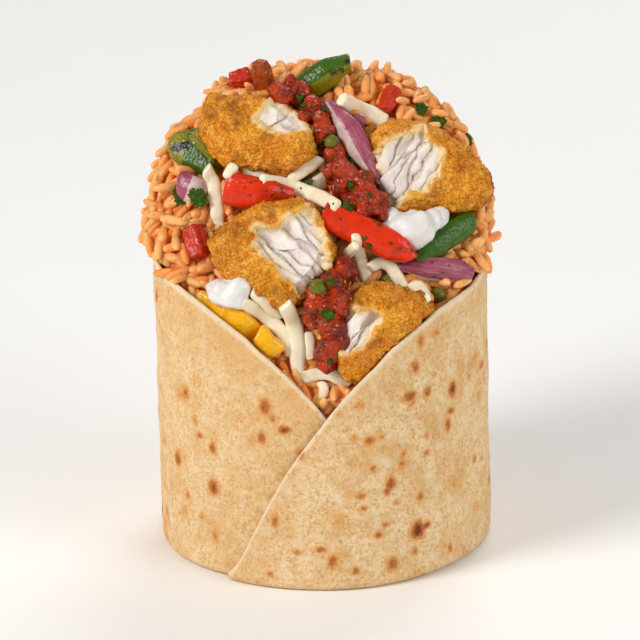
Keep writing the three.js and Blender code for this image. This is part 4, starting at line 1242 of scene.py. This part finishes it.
def shape_fish(piece, node):
    """Crumbs and crags on the crust, sunken flakes where it is broken open."""
    look = bpy.context.scene.burrito_fish
    points = points_of(piece)
    normals = normals_of(piece)
    part = FLESH[node]
    places = view_places(points)
    warp = np.stack([cloudy(points, 2.4, 2, 3.0), cloudy(points, 2.4, 2, 9.0)], axis=1)
    depth = inside_outline(places + warp, part["outline"])
    faces_front = smooth_step(0.05, 0.35, normals @ TO_EYE)
    opened = smooth_step(-0.2, 0.3, depth) * faces_front
    flake, groove, across = flakes_at(points, places, part)
    fibre = cloudy(np.stack([across, points[:, 1] * 0.3, points[:, 2] * 0.1], axis=1), 0.55, 2, 7.0)
    crags = 0.85 * cloudy(points, 5.6, 3) + 0.5 * cloudy(points, 2.3, 2, 2.0)
    crumb = pebbles(points, look.crumb / MM)
    crust_lift = crags + 0.36 * crumb + 0.55 * pebbles(points, look.crumb / MM * CRAG_CRUMBS, 4.0)
    lip = smooth_step(-1.8, -0.2, depth) * (0.5 + 0.5 * warp[:, 1])
    flesh_lift = -look.crust / MM * 0.8 + 0.8 * flake - 0.5 * groove + 0.14 * fibre
    push(piece, (crust_lift + lip) * (1 - opened) + flesh_lift * opened)
    # the crust is drawn browner where it turns away from the eye, towards each piece's outline
    edge = smooth_step(0.4, -0.3, normals @ TO_EYE)
    high = smooth_step(0.0, 0.8, crags)
    browned = 0.5 * cloudy(points, 6.5, 2, 12.0) + 0.06 + 0.5 * edge + 0.6 * high - 0.22 * crumb
    blotch = smooth_step(0.1, 0.5, cloudy(points, 3.1, 2, 21.0))
    pale = smooth_step(-1.7, -0.2, depth + 0.4 * warp[:, 0]) * faces_front
    torn = smooth_step(-0.35, 0.25, cloudy(points, 4.2, 2, 31.0))
    paint(
        piece,
        open=opened,
        sunny=0.8 * smooth_step(0.0, 0.45, cloudy(points, 8.0, 2, 44.0)),
        inner_lip=smooth_step(2.4, 0.2, depth + 0.9 * warp[:, 0]) * faces_front,
        browned=np.clip(browned + 0.15 * blotch, 0, 0.85) * (1 - 0.8 * pale),
        pale=pale,
        lip=smooth_step(-1.6, 0.2, depth + 0.8 * warp[:, 1]) * faces_front * torn,
        # groove: painted shade in the grooves and on sunken flakes, with the fibres' own faint lines
        groove=np.clip(groove * 0.5 + 0.2 * smooth_step(0.2, -1.0, flake) + 0.16 * fibre, 0, 1),
    )


class BURRITO_OT_fish(bpy.types.Operator):
    """Make the four pieces of breaded fish, broken open to their white flakes"""

    bl_idname = "burrito.fish"
    bl_label = "Fish"

    def execute(self, context):
        material = fish_material()
        for node in FLESH:
            piece = solid_copy(node, node + "_breaded")
            soften(piece, *CELLS["fish"])
            shape_fish(piece, node)
            dress(piece, material, "fish", node)
        return {"FINISHED"}


# Vegetables


@shared
def streak_group(name):
    """Fine lines that run along a strip."""
    group, source, target = new_group(
        name,
        (("Along", "NodeSocketFloat", 0.0), ("Around", "NodeSocketFloat", 0.0)),
        (("Mask", "NodeSocketFloat"),),
    )
    slow = add(group, "ShaderNodeMath", {1: 0.12}, {0: source.outputs["Along"]}, operation="MULTIPLY")
    place = add(group, "ShaderNodeCombineXYZ", None, {"X": slow.outputs[0], "Y": source.outputs["Around"]})
    noise_map = add(group, "ShaderNodeTexNoise", {"Scale": 1.7, "Detail": 3.0, "Roughness": 0.6},
                    {"Vector": place.outputs[0]})
    group.links.new(noise_map.outputs["Fac"], target.inputs["Mask"])


def strip_lines(tree):
    return grouped(tree, streak_group(), None, {
        "Along": attribute(tree, "along"), "Around": attribute(tree, "around")}).outputs["Mask"]


def vegetable_material(name, skin, flesh, specks, streaks=0.15, relief=0.11):
    """Glossy skin, paler flesh, fine streaks, char marks and herb specks."""
    material, tree, bsdf = new_material(name, 0.24, Subsurface_Weight=0.1, Subsurface_Scale=0.001,
                                        Specular_IOR_Level=0.36)
    patches = mottle(tree, 260.0, 0.62, 0.2, (skin, [c * 0.5 for c in skin]))
    pale = mottle(tree, 380.0, colours=(flesh, [c * 0.7 for c in flesh]))
    lines = strip_lines(tree)
    ragged = combined(tree, "ADD", attribute(tree, "flesh"), times(tree, combined(tree, "SUBTRACT", lines, 0.5), 0.5))
    colour = mixed(tree, ranged(tree, ragged, 0.3, 0.7), patches.outputs["Colour"], pale.outputs["Colour"])
    between = [min(1.0, 0.5 * (a + b)) for a, b in zip(skin, flesh)]
    colour = laid_over(tree, colour, between, ranged(tree, lines, 0.45, 0.7), streaks)
    colour = laid_over(tree, colour, HERB_SHADE, speckled(tree, 300.0, 0.18), specks)
    colour = mixed(tree, attribute(tree, "char"), colour, CHAR_SHADE)
    tree.links.new(colour, bsdf.inputs["Base Color"])
    grain = pebbled(tree, 1100.0, 0.0007)
    height = combined(tree, "ADD", times(tree, grain.outputs["Height"], 1.1), lines)
    bumped(tree, bsdf, height, relief, 0.9)
    return material


def char_marks(points, places):
    burnt = np.zeros(len(points))
    ragged = 0.35 * cloudy(points, 0.9, 2, 8.0)
    for across, up, size in CHAR_MARKS:
        away = np.hypot((places[:, 0] - across) * 0.8, places[:, 1] - up) / (size / 2)
        burnt = np.maximum(burnt, smooth_step(1.2, 0.7, away + ragged))
    return burnt


def parted(node, places):
    """How far places are on the flesh side of a node's parting line."""
    return smooth_step(-0.4, 0.6, beside_line(places, SKIN_SPLITS[node]))


def make_vegetable(node, material, slot, rough):
    """A cut piece from its solid, with its skin and flesh parted by a line where one is listed."""
    piece = solid_copy(node, node + "_cut")
    soften(piece, *CELLS[slot])
    points = points_of(piece)
    push(piece, 0.12 + 0.22 * cloudy(points, 5.0, 2) + rough * cloudy(points, 1.2, 2))
    places = view_places(points)
    flesh = parted(node, places) if node in SKIN_SPLITS else np.zeros(len(points))
    paint(piece, flesh=flesh, char=char_marks(points, places), along=places[:, 0], around=places[:, 1])
    dress(piece, material, slot, node)


def seat_line(node, line, thick):
    """The middle line of a strip inside its solid, and the way its broad face looks."""
    tree = surface_tree([node])
    middle = np.array([tuple(v.co) for v in frame["nodes"][node].data.vertices]).mean(0) / MM
    seats = []
    faces = []
    for across, up in line:
        ray = line_of_sight(across, up)
        hit, normal, _, _ = tree.ray_cast(Vector(EYE), Vector(ray))
        if hit is None:
            hit, normal, _, _ = tree.find_nearest(Vector(EYE + ray * ((middle - EYE) @ ray)))
        seats.append(np.array(hit))
        faces.append(np.array(normal))
    face = unit(np.mean(faces, axis=0) + 0.4 * TO_EYE)
    return np.array(seats) - face * thick * 0.5, face


def loft_strip(node, line, width, thick, cut):
    """A strip with a full section and cut ends along a middle line."""
    cut = PLAIN_CUT | cut
    seats, face = seat_line(node, line, thick)
    gaps = np.r_[0, np.cumsum(np.linalg.norm(np.diff(seats, axis=0), axis=1))]
    dense = np.stack([np.interp(np.linspace(0, gaps[-1], 160), gaps, seats[:, k]) for k in range(3)], axis=1)
    for _ in range(260):
        dense[1:-1] = 0.5 * dense[1:-1] + 0.25 * (dense[:-2] + dense[2:])
    gaps = np.r_[0, np.cumsum(np.linalg.norm(np.diff(dense, axis=0), axis=1))]
    long = gaps[-1]
    bevel = cut["bevel"]
    near_end = bevel * (1 - np.cos(np.radians(np.linspace(0, 90, 6))))
    spots = np.r_[near_end, np.linspace(bevel, long - bevel, int(long / 0.4 / COARSE))[1:-1], long - near_end[::-1]]
    middle = np.stack([np.interp(spots, gaps, dense[:, k]) for k in range(3)], axis=1)
    tangent = np.gradient(middle, spots + np.arange(len(spots)) * 1e-6, axis=0)
    tangent /= np.linalg.norm(tangent, axis=1)[:, None]
    side = np.cross(tangent, face)
    side /= np.linalg.norm(side, axis=1)[:, None]
    up = np.cross(side, tangent)
    first, last = cut["taper"]
    ease_in, ease_out = (share * long for share in cut["ease"])
    taper = first + (1 - first) * smooth_step(0, ease_in, spots)
    taper = taper * (last + (1 - last) * smooth_step(0, ease_out, long - spots))
    near = np.minimum(spots, long - spots)
    inset = bevel * (1 - np.sqrt(1 - (1 - np.minimum(near / bevel, 1)) ** 2))
    half_wide = np.maximum(width / 2 * taper - inset, 0.1)
    half_thick = np.maximum(thick / 2 * np.sqrt(taper) - inset, 0.1)
    sides = 32
    angle = 2 * np.pi * np.arange(sides) / sides
    power = cut["square"]
    a = np.sign(np.cos(angle)) * np.abs(np.cos(angle)) ** power
    u = np.sign(np.sin(angle)) * np.abs(np.sin(angle)) ** power
    wide = half_wide[:, None] * a
    rise = half_thick[:, None] * u - cut["arch"] * width * (a * a - 0.35) * taper[:, None]
    rise = rise + cut["ridge"] * half_wide[:, None] * (u > 0) * (1 - np.abs(a))
    near_slant, far_slant = cut["slant"]
    shift = near_slant * smooth_step(width * 0.8, 0, spots) + far_slant * smooth_step(width * 0.8, 0, long - spots)
    points = (middle[:, None] + side[:, None] * wide[..., None] + up[:, None] * rise[..., None]
              + tangent[:, None] * (shift[:, None] * wide)[..., None]).reshape(-1, 3)
    count = len(spots)
    points = np.vstack([points, points[:sides].mean(0), points[-sides:].mean(0)])
    faces = []
    for k in range(count - 1):
        for j in range(sides):
            nxt = (j + 1) % sides
            faces.append((k * sides + j, k * sides + nxt, (k + 1) * sides + nxt, (k + 1) * sides + j))
    top = (count - 1) * sides
    for j in range(sides):
        nxt = (j + 1) % sides
        faces.append((count * sides, nxt, j))
        faces.append((count * sides + 1, top + j, top + nxt))
    turned, share = cut["flesh"]
    facing = np.cos(angle - math.radians(turned))
    flesh = np.tile(smooth_step(share - 0.15, share + 0.15, facing), (count, 1))
    flesh = np.maximum(flesh, smooth_step(bevel * 0.6, bevel * 0.2, near)[:, None] * (share < ALL_SKIN))
    values = {
        "flesh": np.r_[flesh.ravel(), [1.0, 1.0]],
        "along": np.r_[np.repeat(spots, sides), [0.0, long]],
        "around": np.r_[wide.ravel(), [0.0, 0.0]],
    }
    return points, faces, values


def make_strip(node, name, material, slot, line, width, thick, cut, rough):
    """A strip that is lofted along its listed line, with a faintly uneven surface."""
    points, faces, values = loft_strip(node, line, width, thick, cut)
    piece = new_piece(name, points, faces)
    with edited(piece.data) as form:
        bmesh.ops.recalc_face_normals(form, faces=form.faces)
    push(piece, rough * cloudy(points, 4.5, 2) + rough * 0.25 * cloudy(points, 1.1, 2))
    places = view_places(points)
    if node in SKIN_SPLITS:
        values["flesh"] = parted(node, places)
    paint(piece, **values, char=char_marks(points, places))
    dress(piece, material, slot, node)


def make_kind(kind, material, strip_rough=0.14, rough=0.05):
    """Every piece of a kind: a strip where one is listed, or else a piece from its solid."""
    for node in nodes_of(kind):
        if node in STRIPS:
            make_strip(node, node + "_strip", material, kind, *STRIPS[node], strip_rough)
        else:
            make_vegetable(node, material, kind, rough)


class BURRITO_OT_peppers(bpy.types.Operator):
    """Make the green, red and yellow pepper strips"""

    bl_idname = "burrito.peppers"
    bl_label = "Peppers"

    def execute(self, context):
        look = context.scene.burrito_filling
        kinds = {
            "pepper_green": vegetable_material("green_pepper", look.green_skin, look.green_flesh, 0.25, 0.25, 0.15),
            "pepper_red": vegetable_material("red_pepper", look.red_skin, look.red_flesh, 0.2),
            "pepper_yellow": vegetable_material("yellow_pepper", look.yellow_skin, look.yellow_skin, 0.0),
        }
        for kind, material in kinds.items():
            make_kind(kind, material)
        return {"FINISHED"}


class BURRITO_OT_onions(bpy.types.Operator):
    """Make the red onion strips with their purple and pale sides"""

    bl_idname = "burrito.onions"
    bl_label = "Onions"

    def execute(self, context):
        look = context.scene.burrito_filling
        material = vegetable_material("red_onion", look.onion_skin, look.onion_flesh, 0.0, 0.3, 0.08)
        make_kind("onion", material, strip_rough=0.12)
        return {"FINISHED"}


class BURRITO_OT_tomatoes(bpy.types.Operator):
    """Make the tomato dice"""

    bl_idname = "burrito.tomatoes"
    bl_label = "Tomatoes"

    def execute(self, context):
        look = context.scene.burrito_filling
        material = vegetable_material("tomato_flesh", look.tomato, look.tomato_brown, 0.0)
        make_kind("tomato", material, rough=0.22)
        return {"FINISHED"}


class BURRITO_OT_olives(bpy.types.Operator):
    """Make the olive slices and capers"""

    bl_idname = "burrito.olives"
    bl_label = "Olives"

    def execute(self, context):
        look = context.scene.burrito_filling
        material = vegetable_material("green_olive", look.olive, look.olive, 0.35)
        make_kind("olive", material)
        return {"FINISHED"}


# Salsa, cream and cheese

SMALL_TOPPINGS = ("olive", "parsley", "onion", "pepper", "cheese")


def under_lumps():
    """Search tree over the solids that the lumps of salsa and cream lie on."""
    return surface_tree([node for node in frame["nodes"] if not node.startswith(SMALL_TOPPINGS)])


class BURRITO_OT_salsa(bpy.types.Operator):
    """Make the chunky wet salsa between the fish"""

    bl_idname = "burrito.salsa"
    bl_label = "Salsa"

    def execute(self, context):
        look = context.scene.burrito_filling
        material, tree, bsdf = new_material("chunky_salsa", 0.22, Subsurface_Weight=0.1, Subsurface_Scale=0.001,
                                            Specular_IOR_Level=0.36)
        patches = mottle(tree, 230.0, 0.49, 0.12, (look.salsa_dark, look.salsa_light))
        herb = [c * 0.5 for c in look.leaf]
        colour = laid_over(tree, patches.outputs["Colour"], herb, speckled(tree, 420.0, 0.2), 0.7)
        colour = laid_over(tree, colour, look.salsa_bits, speckled(tree, 290.0, 0.15), 0.6)
        tree.links.new(colour, bsdf.inputs["Base Color"])
        bumped(tree, bsdf, pebbled(tree, 1000.0, 0.001).outputs["Height"], 0.34, 0.9)
        food = under_lumps()
        for node in nodes_of("salsa"):
            piece = solid_copy(node, node + "_wet")
            add_lumps(piece, LUMPS[node], food, 0.7)
            soften(piece, *CELLS["salsa"])
            points = points_of(piece)
            push(piece, 0.45 * pebbles(points, 4.8) + 0.7 * cloudy(points, 3.6, 2) + 0.26 * cloudy(points, 1.3, 2))
            dress(piece, material, "salsa", node)
        return {"FINISHED"}


class BURRITO_OT_cream(bpy.types.Operator):
    """Make the two dollops of cream"""

    bl_idname = "burrito.cream"
    bl_label = "Cream"

    def execute(self, context):
        look = context.scene.burrito_filling
        material, tree, bsdf = new_material("thick_cream", 0.3, Subsurface_Weight=0.3, Subsurface_Scale=0.002,
                                            Coat_Weight=0.3, Coat_Roughness=0.2)
        patches = mottle(tree, 200.0, colours=(look.cream, [c * 0.93 for c in look.cream]))
        tree.links.new(patches.outputs["Colour"], bsdf.inputs["Base Color"])
        bumped(tree, bsdf, patches.outputs["Mask"], 0.12, 0.4)
        food = under_lumps()
        for node in nodes_of("cream"):
            piece = solid_copy(node, node + "_dollop")
            add_lumps(piece, LUMPS[node], food, 0.9)
            soften(piece, *CELLS["cream"])
            points = points_of(piece)
            push(piece, 0.2 + 0.6 * cloudy(points, 3.4, 1) + 0.12 * cloudy(points, 1.3, 1))
            dress(piece, material, "cream", node)
        return {"FINISHED"}


class BURRITO_OT_cheese(bpy.types.Operator):
    """Make the cheese shreds"""

    bl_idname = "burrito.cheese"
    bl_label = "Cheese"

    def execute(self, context):
        look = context.scene.burrito_filling
        material, tree, bsdf = new_material("pale_cheese", 0.42, Subsurface_Weight=0.3, Subsurface_Scale=0.002,
                                            Coat_Weight=0.15, Coat_Roughness=0.3)
        deeper = [c * k for c, k in zip(look.cheese, (0.95, 0.9, 0.8))]
        patches = mottle(tree, 180.0, 0.55, 0.2, (look.cheese, deeper))
        tree.links.new(patches.outputs["Colour"], bsdf.inputs["Base Color"])
        fine = mottle(tree, 1500.0).outputs["Mask"]
        bumped(tree, bsdf, combined(tree, "ADD", fine, strip_lines(tree)), 0.1, 0.5)
        for k, (line, width) in enumerate(SHREDS):
            node = f"cheese_{k + 1}"
            tilt = 0.5 * math.sin(k * 2.4)
            cut = {"bevel": 0.6, "square": 0.7, "taper": (0.86 + 0.2 * tilt, 0.86 - 0.2 * tilt),
                   "ease": (0.25, 0.25), "slant": (tilt, -tilt)}
            make_strip(node, node + "_shred", material, "cheese", line, width, SHRED_THICK, cut, 0.28)
        return {"FINISHED"}


# Parsley and crumbs


def leaf_form(size, seed=0.0):
    """A curly leaf with uneven lobes in its own plane: points and faces, with a thin body."""
    sides = 34
    rings = (0.3, 0.55, 0.8, 1.0)
    points = []
    for lift in (-0.13, 0.13):
        points.append((0.0, 0.0, lift))
        for share in rings:
            for k in range(sides):
                angle = 2 * math.pi * k / sides
                way = Vector((math.cos(angle), math.sin(angle), seed))
                lobe = 0.66 + 0.5 * noise.noise(way * 1.6) + 0.42 * noise.noise(way * 3.9)
                tooth = 1 - 0.2 * (k % 2) * share
                reach = size / 2 * share * (1 - share + share * max(0.25, lobe) * tooth)
                curl = size * (0.11 * share * noise.noise(way * 2.3) + 0.05 * share * share * math.sin(5 * angle))
                points.append((reach * math.cos(angle), reach * math.sin(angle) * 0.85, lift + curl))
    return np.array(points), disc_pair_faces(len(rings), sides, flipped=True)


def leaf_material():
    look = bpy.context.scene.burrito_filling
    material, tree, bsdf = new_material("chopped_herb", 0.55, Specular_IOR_Level=0.15)
    lighter = [min(1.0, c * 2.1) for c in look.leaf]
    patches = mottle(tree, 500.0, 0.58, 0.15, (look.leaf, lighter))
    tree.links.new(patches.outputs["Colour"], bsdf.inputs["Base Color"])
    bumped(tree, bsdf, patches.outputs["Mask"], 0.2, 0.8)
    return material


# The leaflets of a sprig: turn, share of its size, tilt and stand-off from its middle
LEAF_SPRAY = (
    (0.3, 0.9, 0.3, 0.12), (1.6, 0.7, -0.45, 0.24), (2.7, 0.75, 0.5, 0.22), (3.9, 0.8, -0.3, 0.2),
    (5.2, 0.7, 0.55, 0.26),
)


def node_frame(node):
    """Middle and outward direction of a flat solid, in millimetres."""
    found = np.array([tuple(v.co) for v in frame["nodes"][node].data.vertices]) / MM
    middle = (found.min(0) + found.max(0)) / 2
    _, _, axes = np.linalg.svd(found - found.mean(0), full_matrices=False)
    normal = axes[2] * math.copysign(1, axes[2] @ (TO_EYE + np.array((0, 0, 0.5))))
    return middle, normal, float(np.ptp((found - middle) @ axes[0]))


class BURRITO_OT_parsley(bpy.types.Operator):
    """Make the sprigs of parsley"""

    bl_idname = "burrito.parsley"
    bl_label = "Parsley"

    def execute(self, context):
        material = leaf_material()
        tree, _ = pieces_tree()
        for node in nodes_of("parsley"):
            middle, normal, size = node_frame(node)
            points = []
            faces = []
            for turn, share, tilt, shift in LEAF_SPRAY:
                form, found = leaf_form(size * share, turn + size)
                side = unit(np.cross(normal, (math.cos(turn), 0.2, math.sin(turn))))
                up = unit(normal + side * tilt)
                other = np.cross(up, side)
                centre = middle + other * size * shift + normal * 0.3
                faces += moved_on(found, len(points))
                points.extend(centre + form[:, :1] * side + form[:, 1:2] * other + form[:, 2:3] * up)
            gap = min(tree.find_nearest(Vector(point))[3] for point in points)
            points = np.array(points) - normal * max(0.0, gap - 0.05)
            piece = new_piece(node + "_leaf", points, faces)
            dress(piece, material, "parsley", node)
        return {"FINISHED"}


def first_seen(tree, owners, across, up):
    """Where the front view's line through a place first meets the food: point, mean normal round it and piece."""
    ray = line_of_sight(across, up)
    hit, _, face, _ = tree.ray_cast(Vector(EYE), Vector(ray))
    if hit is None:
        return None, None, ""
    normal = sum((near[1] for near in tree.find_nearest_range(hit, NORMAL_REACH)), Vector())
    return np.array(hit), np.array(normal.normalized()), owners[face]


def fleck(centre, normal, size, draw):
    """A small flat ragged chip: points and faces."""
    side, other = across_plane(normal, draw.normal(size=3))
    corners = 6
    points = []
    for corner in range(corners):
        angle = corner * 2 * math.pi / corners
        reach = size * (1.0, 0.55)[corner % 2] * draw.uniform(0.35, 0.55)
        for lift in FLECK_BODY:
            points.append(centre + side * math.cos(angle) * reach + other * math.sin(angle) * reach * 0.8
                          + normal * (lift + 0.12 * math.sin(angle * 2)))
    faces = [tuple(2 * k for k in reversed(range(corners))), tuple(2 * k + 1 for k in range(corners))]
    for k in range(corners):
        nxt = (k + 1) % corners
        faces.append((2 * k, 2 * nxt, 2 * nxt + 1, 2 * k + 1))
    return points, faces


class BURRITO_OT_flecks(bpy.types.Operator):
    """Make the small herb flecks and the chopped leaves on the salsa and peppers"""

    bl_idname = "burrito.flecks"
    bl_label = "Herb flecks"

    def execute(self, context):
        draw = np.random.default_rng(5)
        tree, owners = pieces_tree()
        points = []
        faces = []

        def put(found, found_faces):
            faces.extend(moved_on(found_faces, len(points)))
            points.extend(found)

        for across, up, size in HERB_PLACES:
            hit, normal, _ = first_seen(tree, owners, across, up)
            if hit is not None:
                form, form_faces = leaf_form(size * 1.15, across)
                side, other = across_plane(normal, (0.3, 0.5, 0.8))
                centre = hit + normal * 0.3
                put(list(centre + form[:, :1] * side + form[:, 1:2] * other + form[:, 2:3] * normal * 1.6),
                    form_faces)
        for kinds, count, (left, low, right, high), least, most in FLECK_PATCHES:
            for _ in range(count):
                hit, normal, owner = first_seen(tree, owners, draw.uniform(left, right), draw.uniform(low, high))
                size = draw.uniform(least, most)
                if owner.startswith(kinds):
                    put(*fleck(hit, normal, size, draw))
        piece = new_piece("herb_flecks", points, faces)
        dress(piece, bpy.data.materials["chopped_herb"], "parsley")
        return {"FINISHED"}


# Studio

FLOOR_REACH = 4000.0

# Lights: place in metres, width and colour, and the place that they look at
LIGHTS = {
    "key": ((-0.85, -0.5, 0.75), 0.5, (1.0, 0.98, 0.95)),
    "fill": ((0.85, -0.6, 0.5), 0.7, (1.0, 0.99, 0.98)),
    "back": ((0.25, 0.7, 0.8), 0.6, (1.0, 1.0, 1.0)),
}
LIT_PLACE = (0, 0, 0.06)


def area_light(name, place, size, power, colour):
    lamp = bpy.data.lights.new(name, "AREA")
    lamp.shape = "DISK"
    lamp.size = size
    lamp.energy = power
    lamp.color = colour
    light = new_object(name, lamp)
    light.location = place
    light.rotation_mode = "QUATERNION"
    light.rotation_quaternion = (Vector(LIT_PLACE) - Vector(place)).to_track_quat("-Z", "Y")


class BURRITO_OT_studio(bpy.types.Operator):
    """Make the pale floor, the soft light and the camera"""

    bl_idname = "burrito.studio"
    bl_label = "Studio"

    def execute(self, context):
        scene = context.scene
        look = scene.burrito_studio
        corners = [(x * FLOOR_REACH, y * FLOOR_REACH, 0) for x, y in ((-1, -1), (1, -1), (1, 1), (-1, 1))]
        floor = new_piece("floor", corners, [(0, 1, 2, 3)])
        material, tree, bsdf = new_material("floor", 0.7)
        patches = mottle(tree, 4.0, colours=(look.floor, [c * 0.985 for c in look.floor]))
        tree.links.new(patches.outputs["Colour"], bsdf.inputs["Base Color"])
        floor.data.materials.append(material)
        world = bpy.data.worlds.new("studio")
        world.use_nodes = True
        backdrop = world.node_tree.nodes["Background"]
        backdrop.inputs["Color"].default_value = (1, 1, 1, 1)
        backdrop.inputs["Strength"].default_value = look.sky
        scene.world = world
        for name, (place, size, colour) in LIGHTS.items():
            area_light(name + "_light", place, size, getattr(look, name + "_power"), colour)
        lens = bpy.data.cameras.new("camera")
        lens.sensor_width = 36.0
        lens.lens = lens.sensor_width * VIEW_AWAY / VIEW_WIDTH
        lens.clip_start = 0.05
        camera = new_object("camera", lens)
        right = ACROSS * math.cos(VIEW_ROLL) - UPWARD * math.sin(VIEW_ROLL)
        upright = ACROSS * math.sin(VIEW_ROLL) + UPWARD * math.cos(VIEW_ROLL)
        axes = Matrix([[right[k], upright[k], TO_EYE[k], EYE[k] * MM] for k in range(3)] + [[0, 0, 0, 1]])
        camera.matrix_world = axes
        scene.camera = camera
        scene.view_settings.view_transform = "Standard"
        return {"FINISHED"}


class BURRITO_PT_panel(bpy.types.Panel):
    """Lists the pieces of the burrito"""

    bl_idname = "BURRITO_PT_panel"
    bl_label = "Burrito"
    bl_space_type = "VIEW_3D"
    bl_region_type = "UI"
    bl_category = "Burrito"

    def draw(self, context):
        for operator in PIECE_OPERATORS:
            self.layout.operator(operator.bl_idname)
        for name, group in SETTINGS.items():
            settings = getattr(context.scene, name)
            box = self.layout.box()
            for key in group.__annotations__:
                box.prop(settings, key)


PIECE_OPERATORS = (
    BURRITO_OT_tortilla,
    BURRITO_OT_rice,
    BURRITO_OT_fish,
    BURRITO_OT_peppers,
    BURRITO_OT_onions,
    BURRITO_OT_tomatoes,
    BURRITO_OT_olives,
    BURRITO_OT_salsa,
    BURRITO_OT_cream,
    BURRITO_OT_cheese,
    BURRITO_OT_parsley,
    BURRITO_OT_flecks,
    BURRITO_OT_studio,
)
CLASSES = (*SETTINGS.values(), *PIECE_OPERATORS, BURRITO_PT_panel)


def register():
    for made in CLASSES:
        bpy.utils.register_class(made)
    for name, group in SETTINGS.items():
        setattr(bpy.types.Scene, name, PointerProperty(type=group))


def unregister():
    for name in SETTINGS:
        delattr(bpy.types.Scene, name)
    for made in reversed(CLASSES):
        bpy.utils.unregister_class(made)


def main():
    register()
    for operator in PIECE_OPERATORS:
        folder, name = operator.bl_idname.split(".")
        getattr(getattr(bpy.ops, folder), name)()
    bpy.context.view_layer.update()


if __name__ == "__main__":
    main()
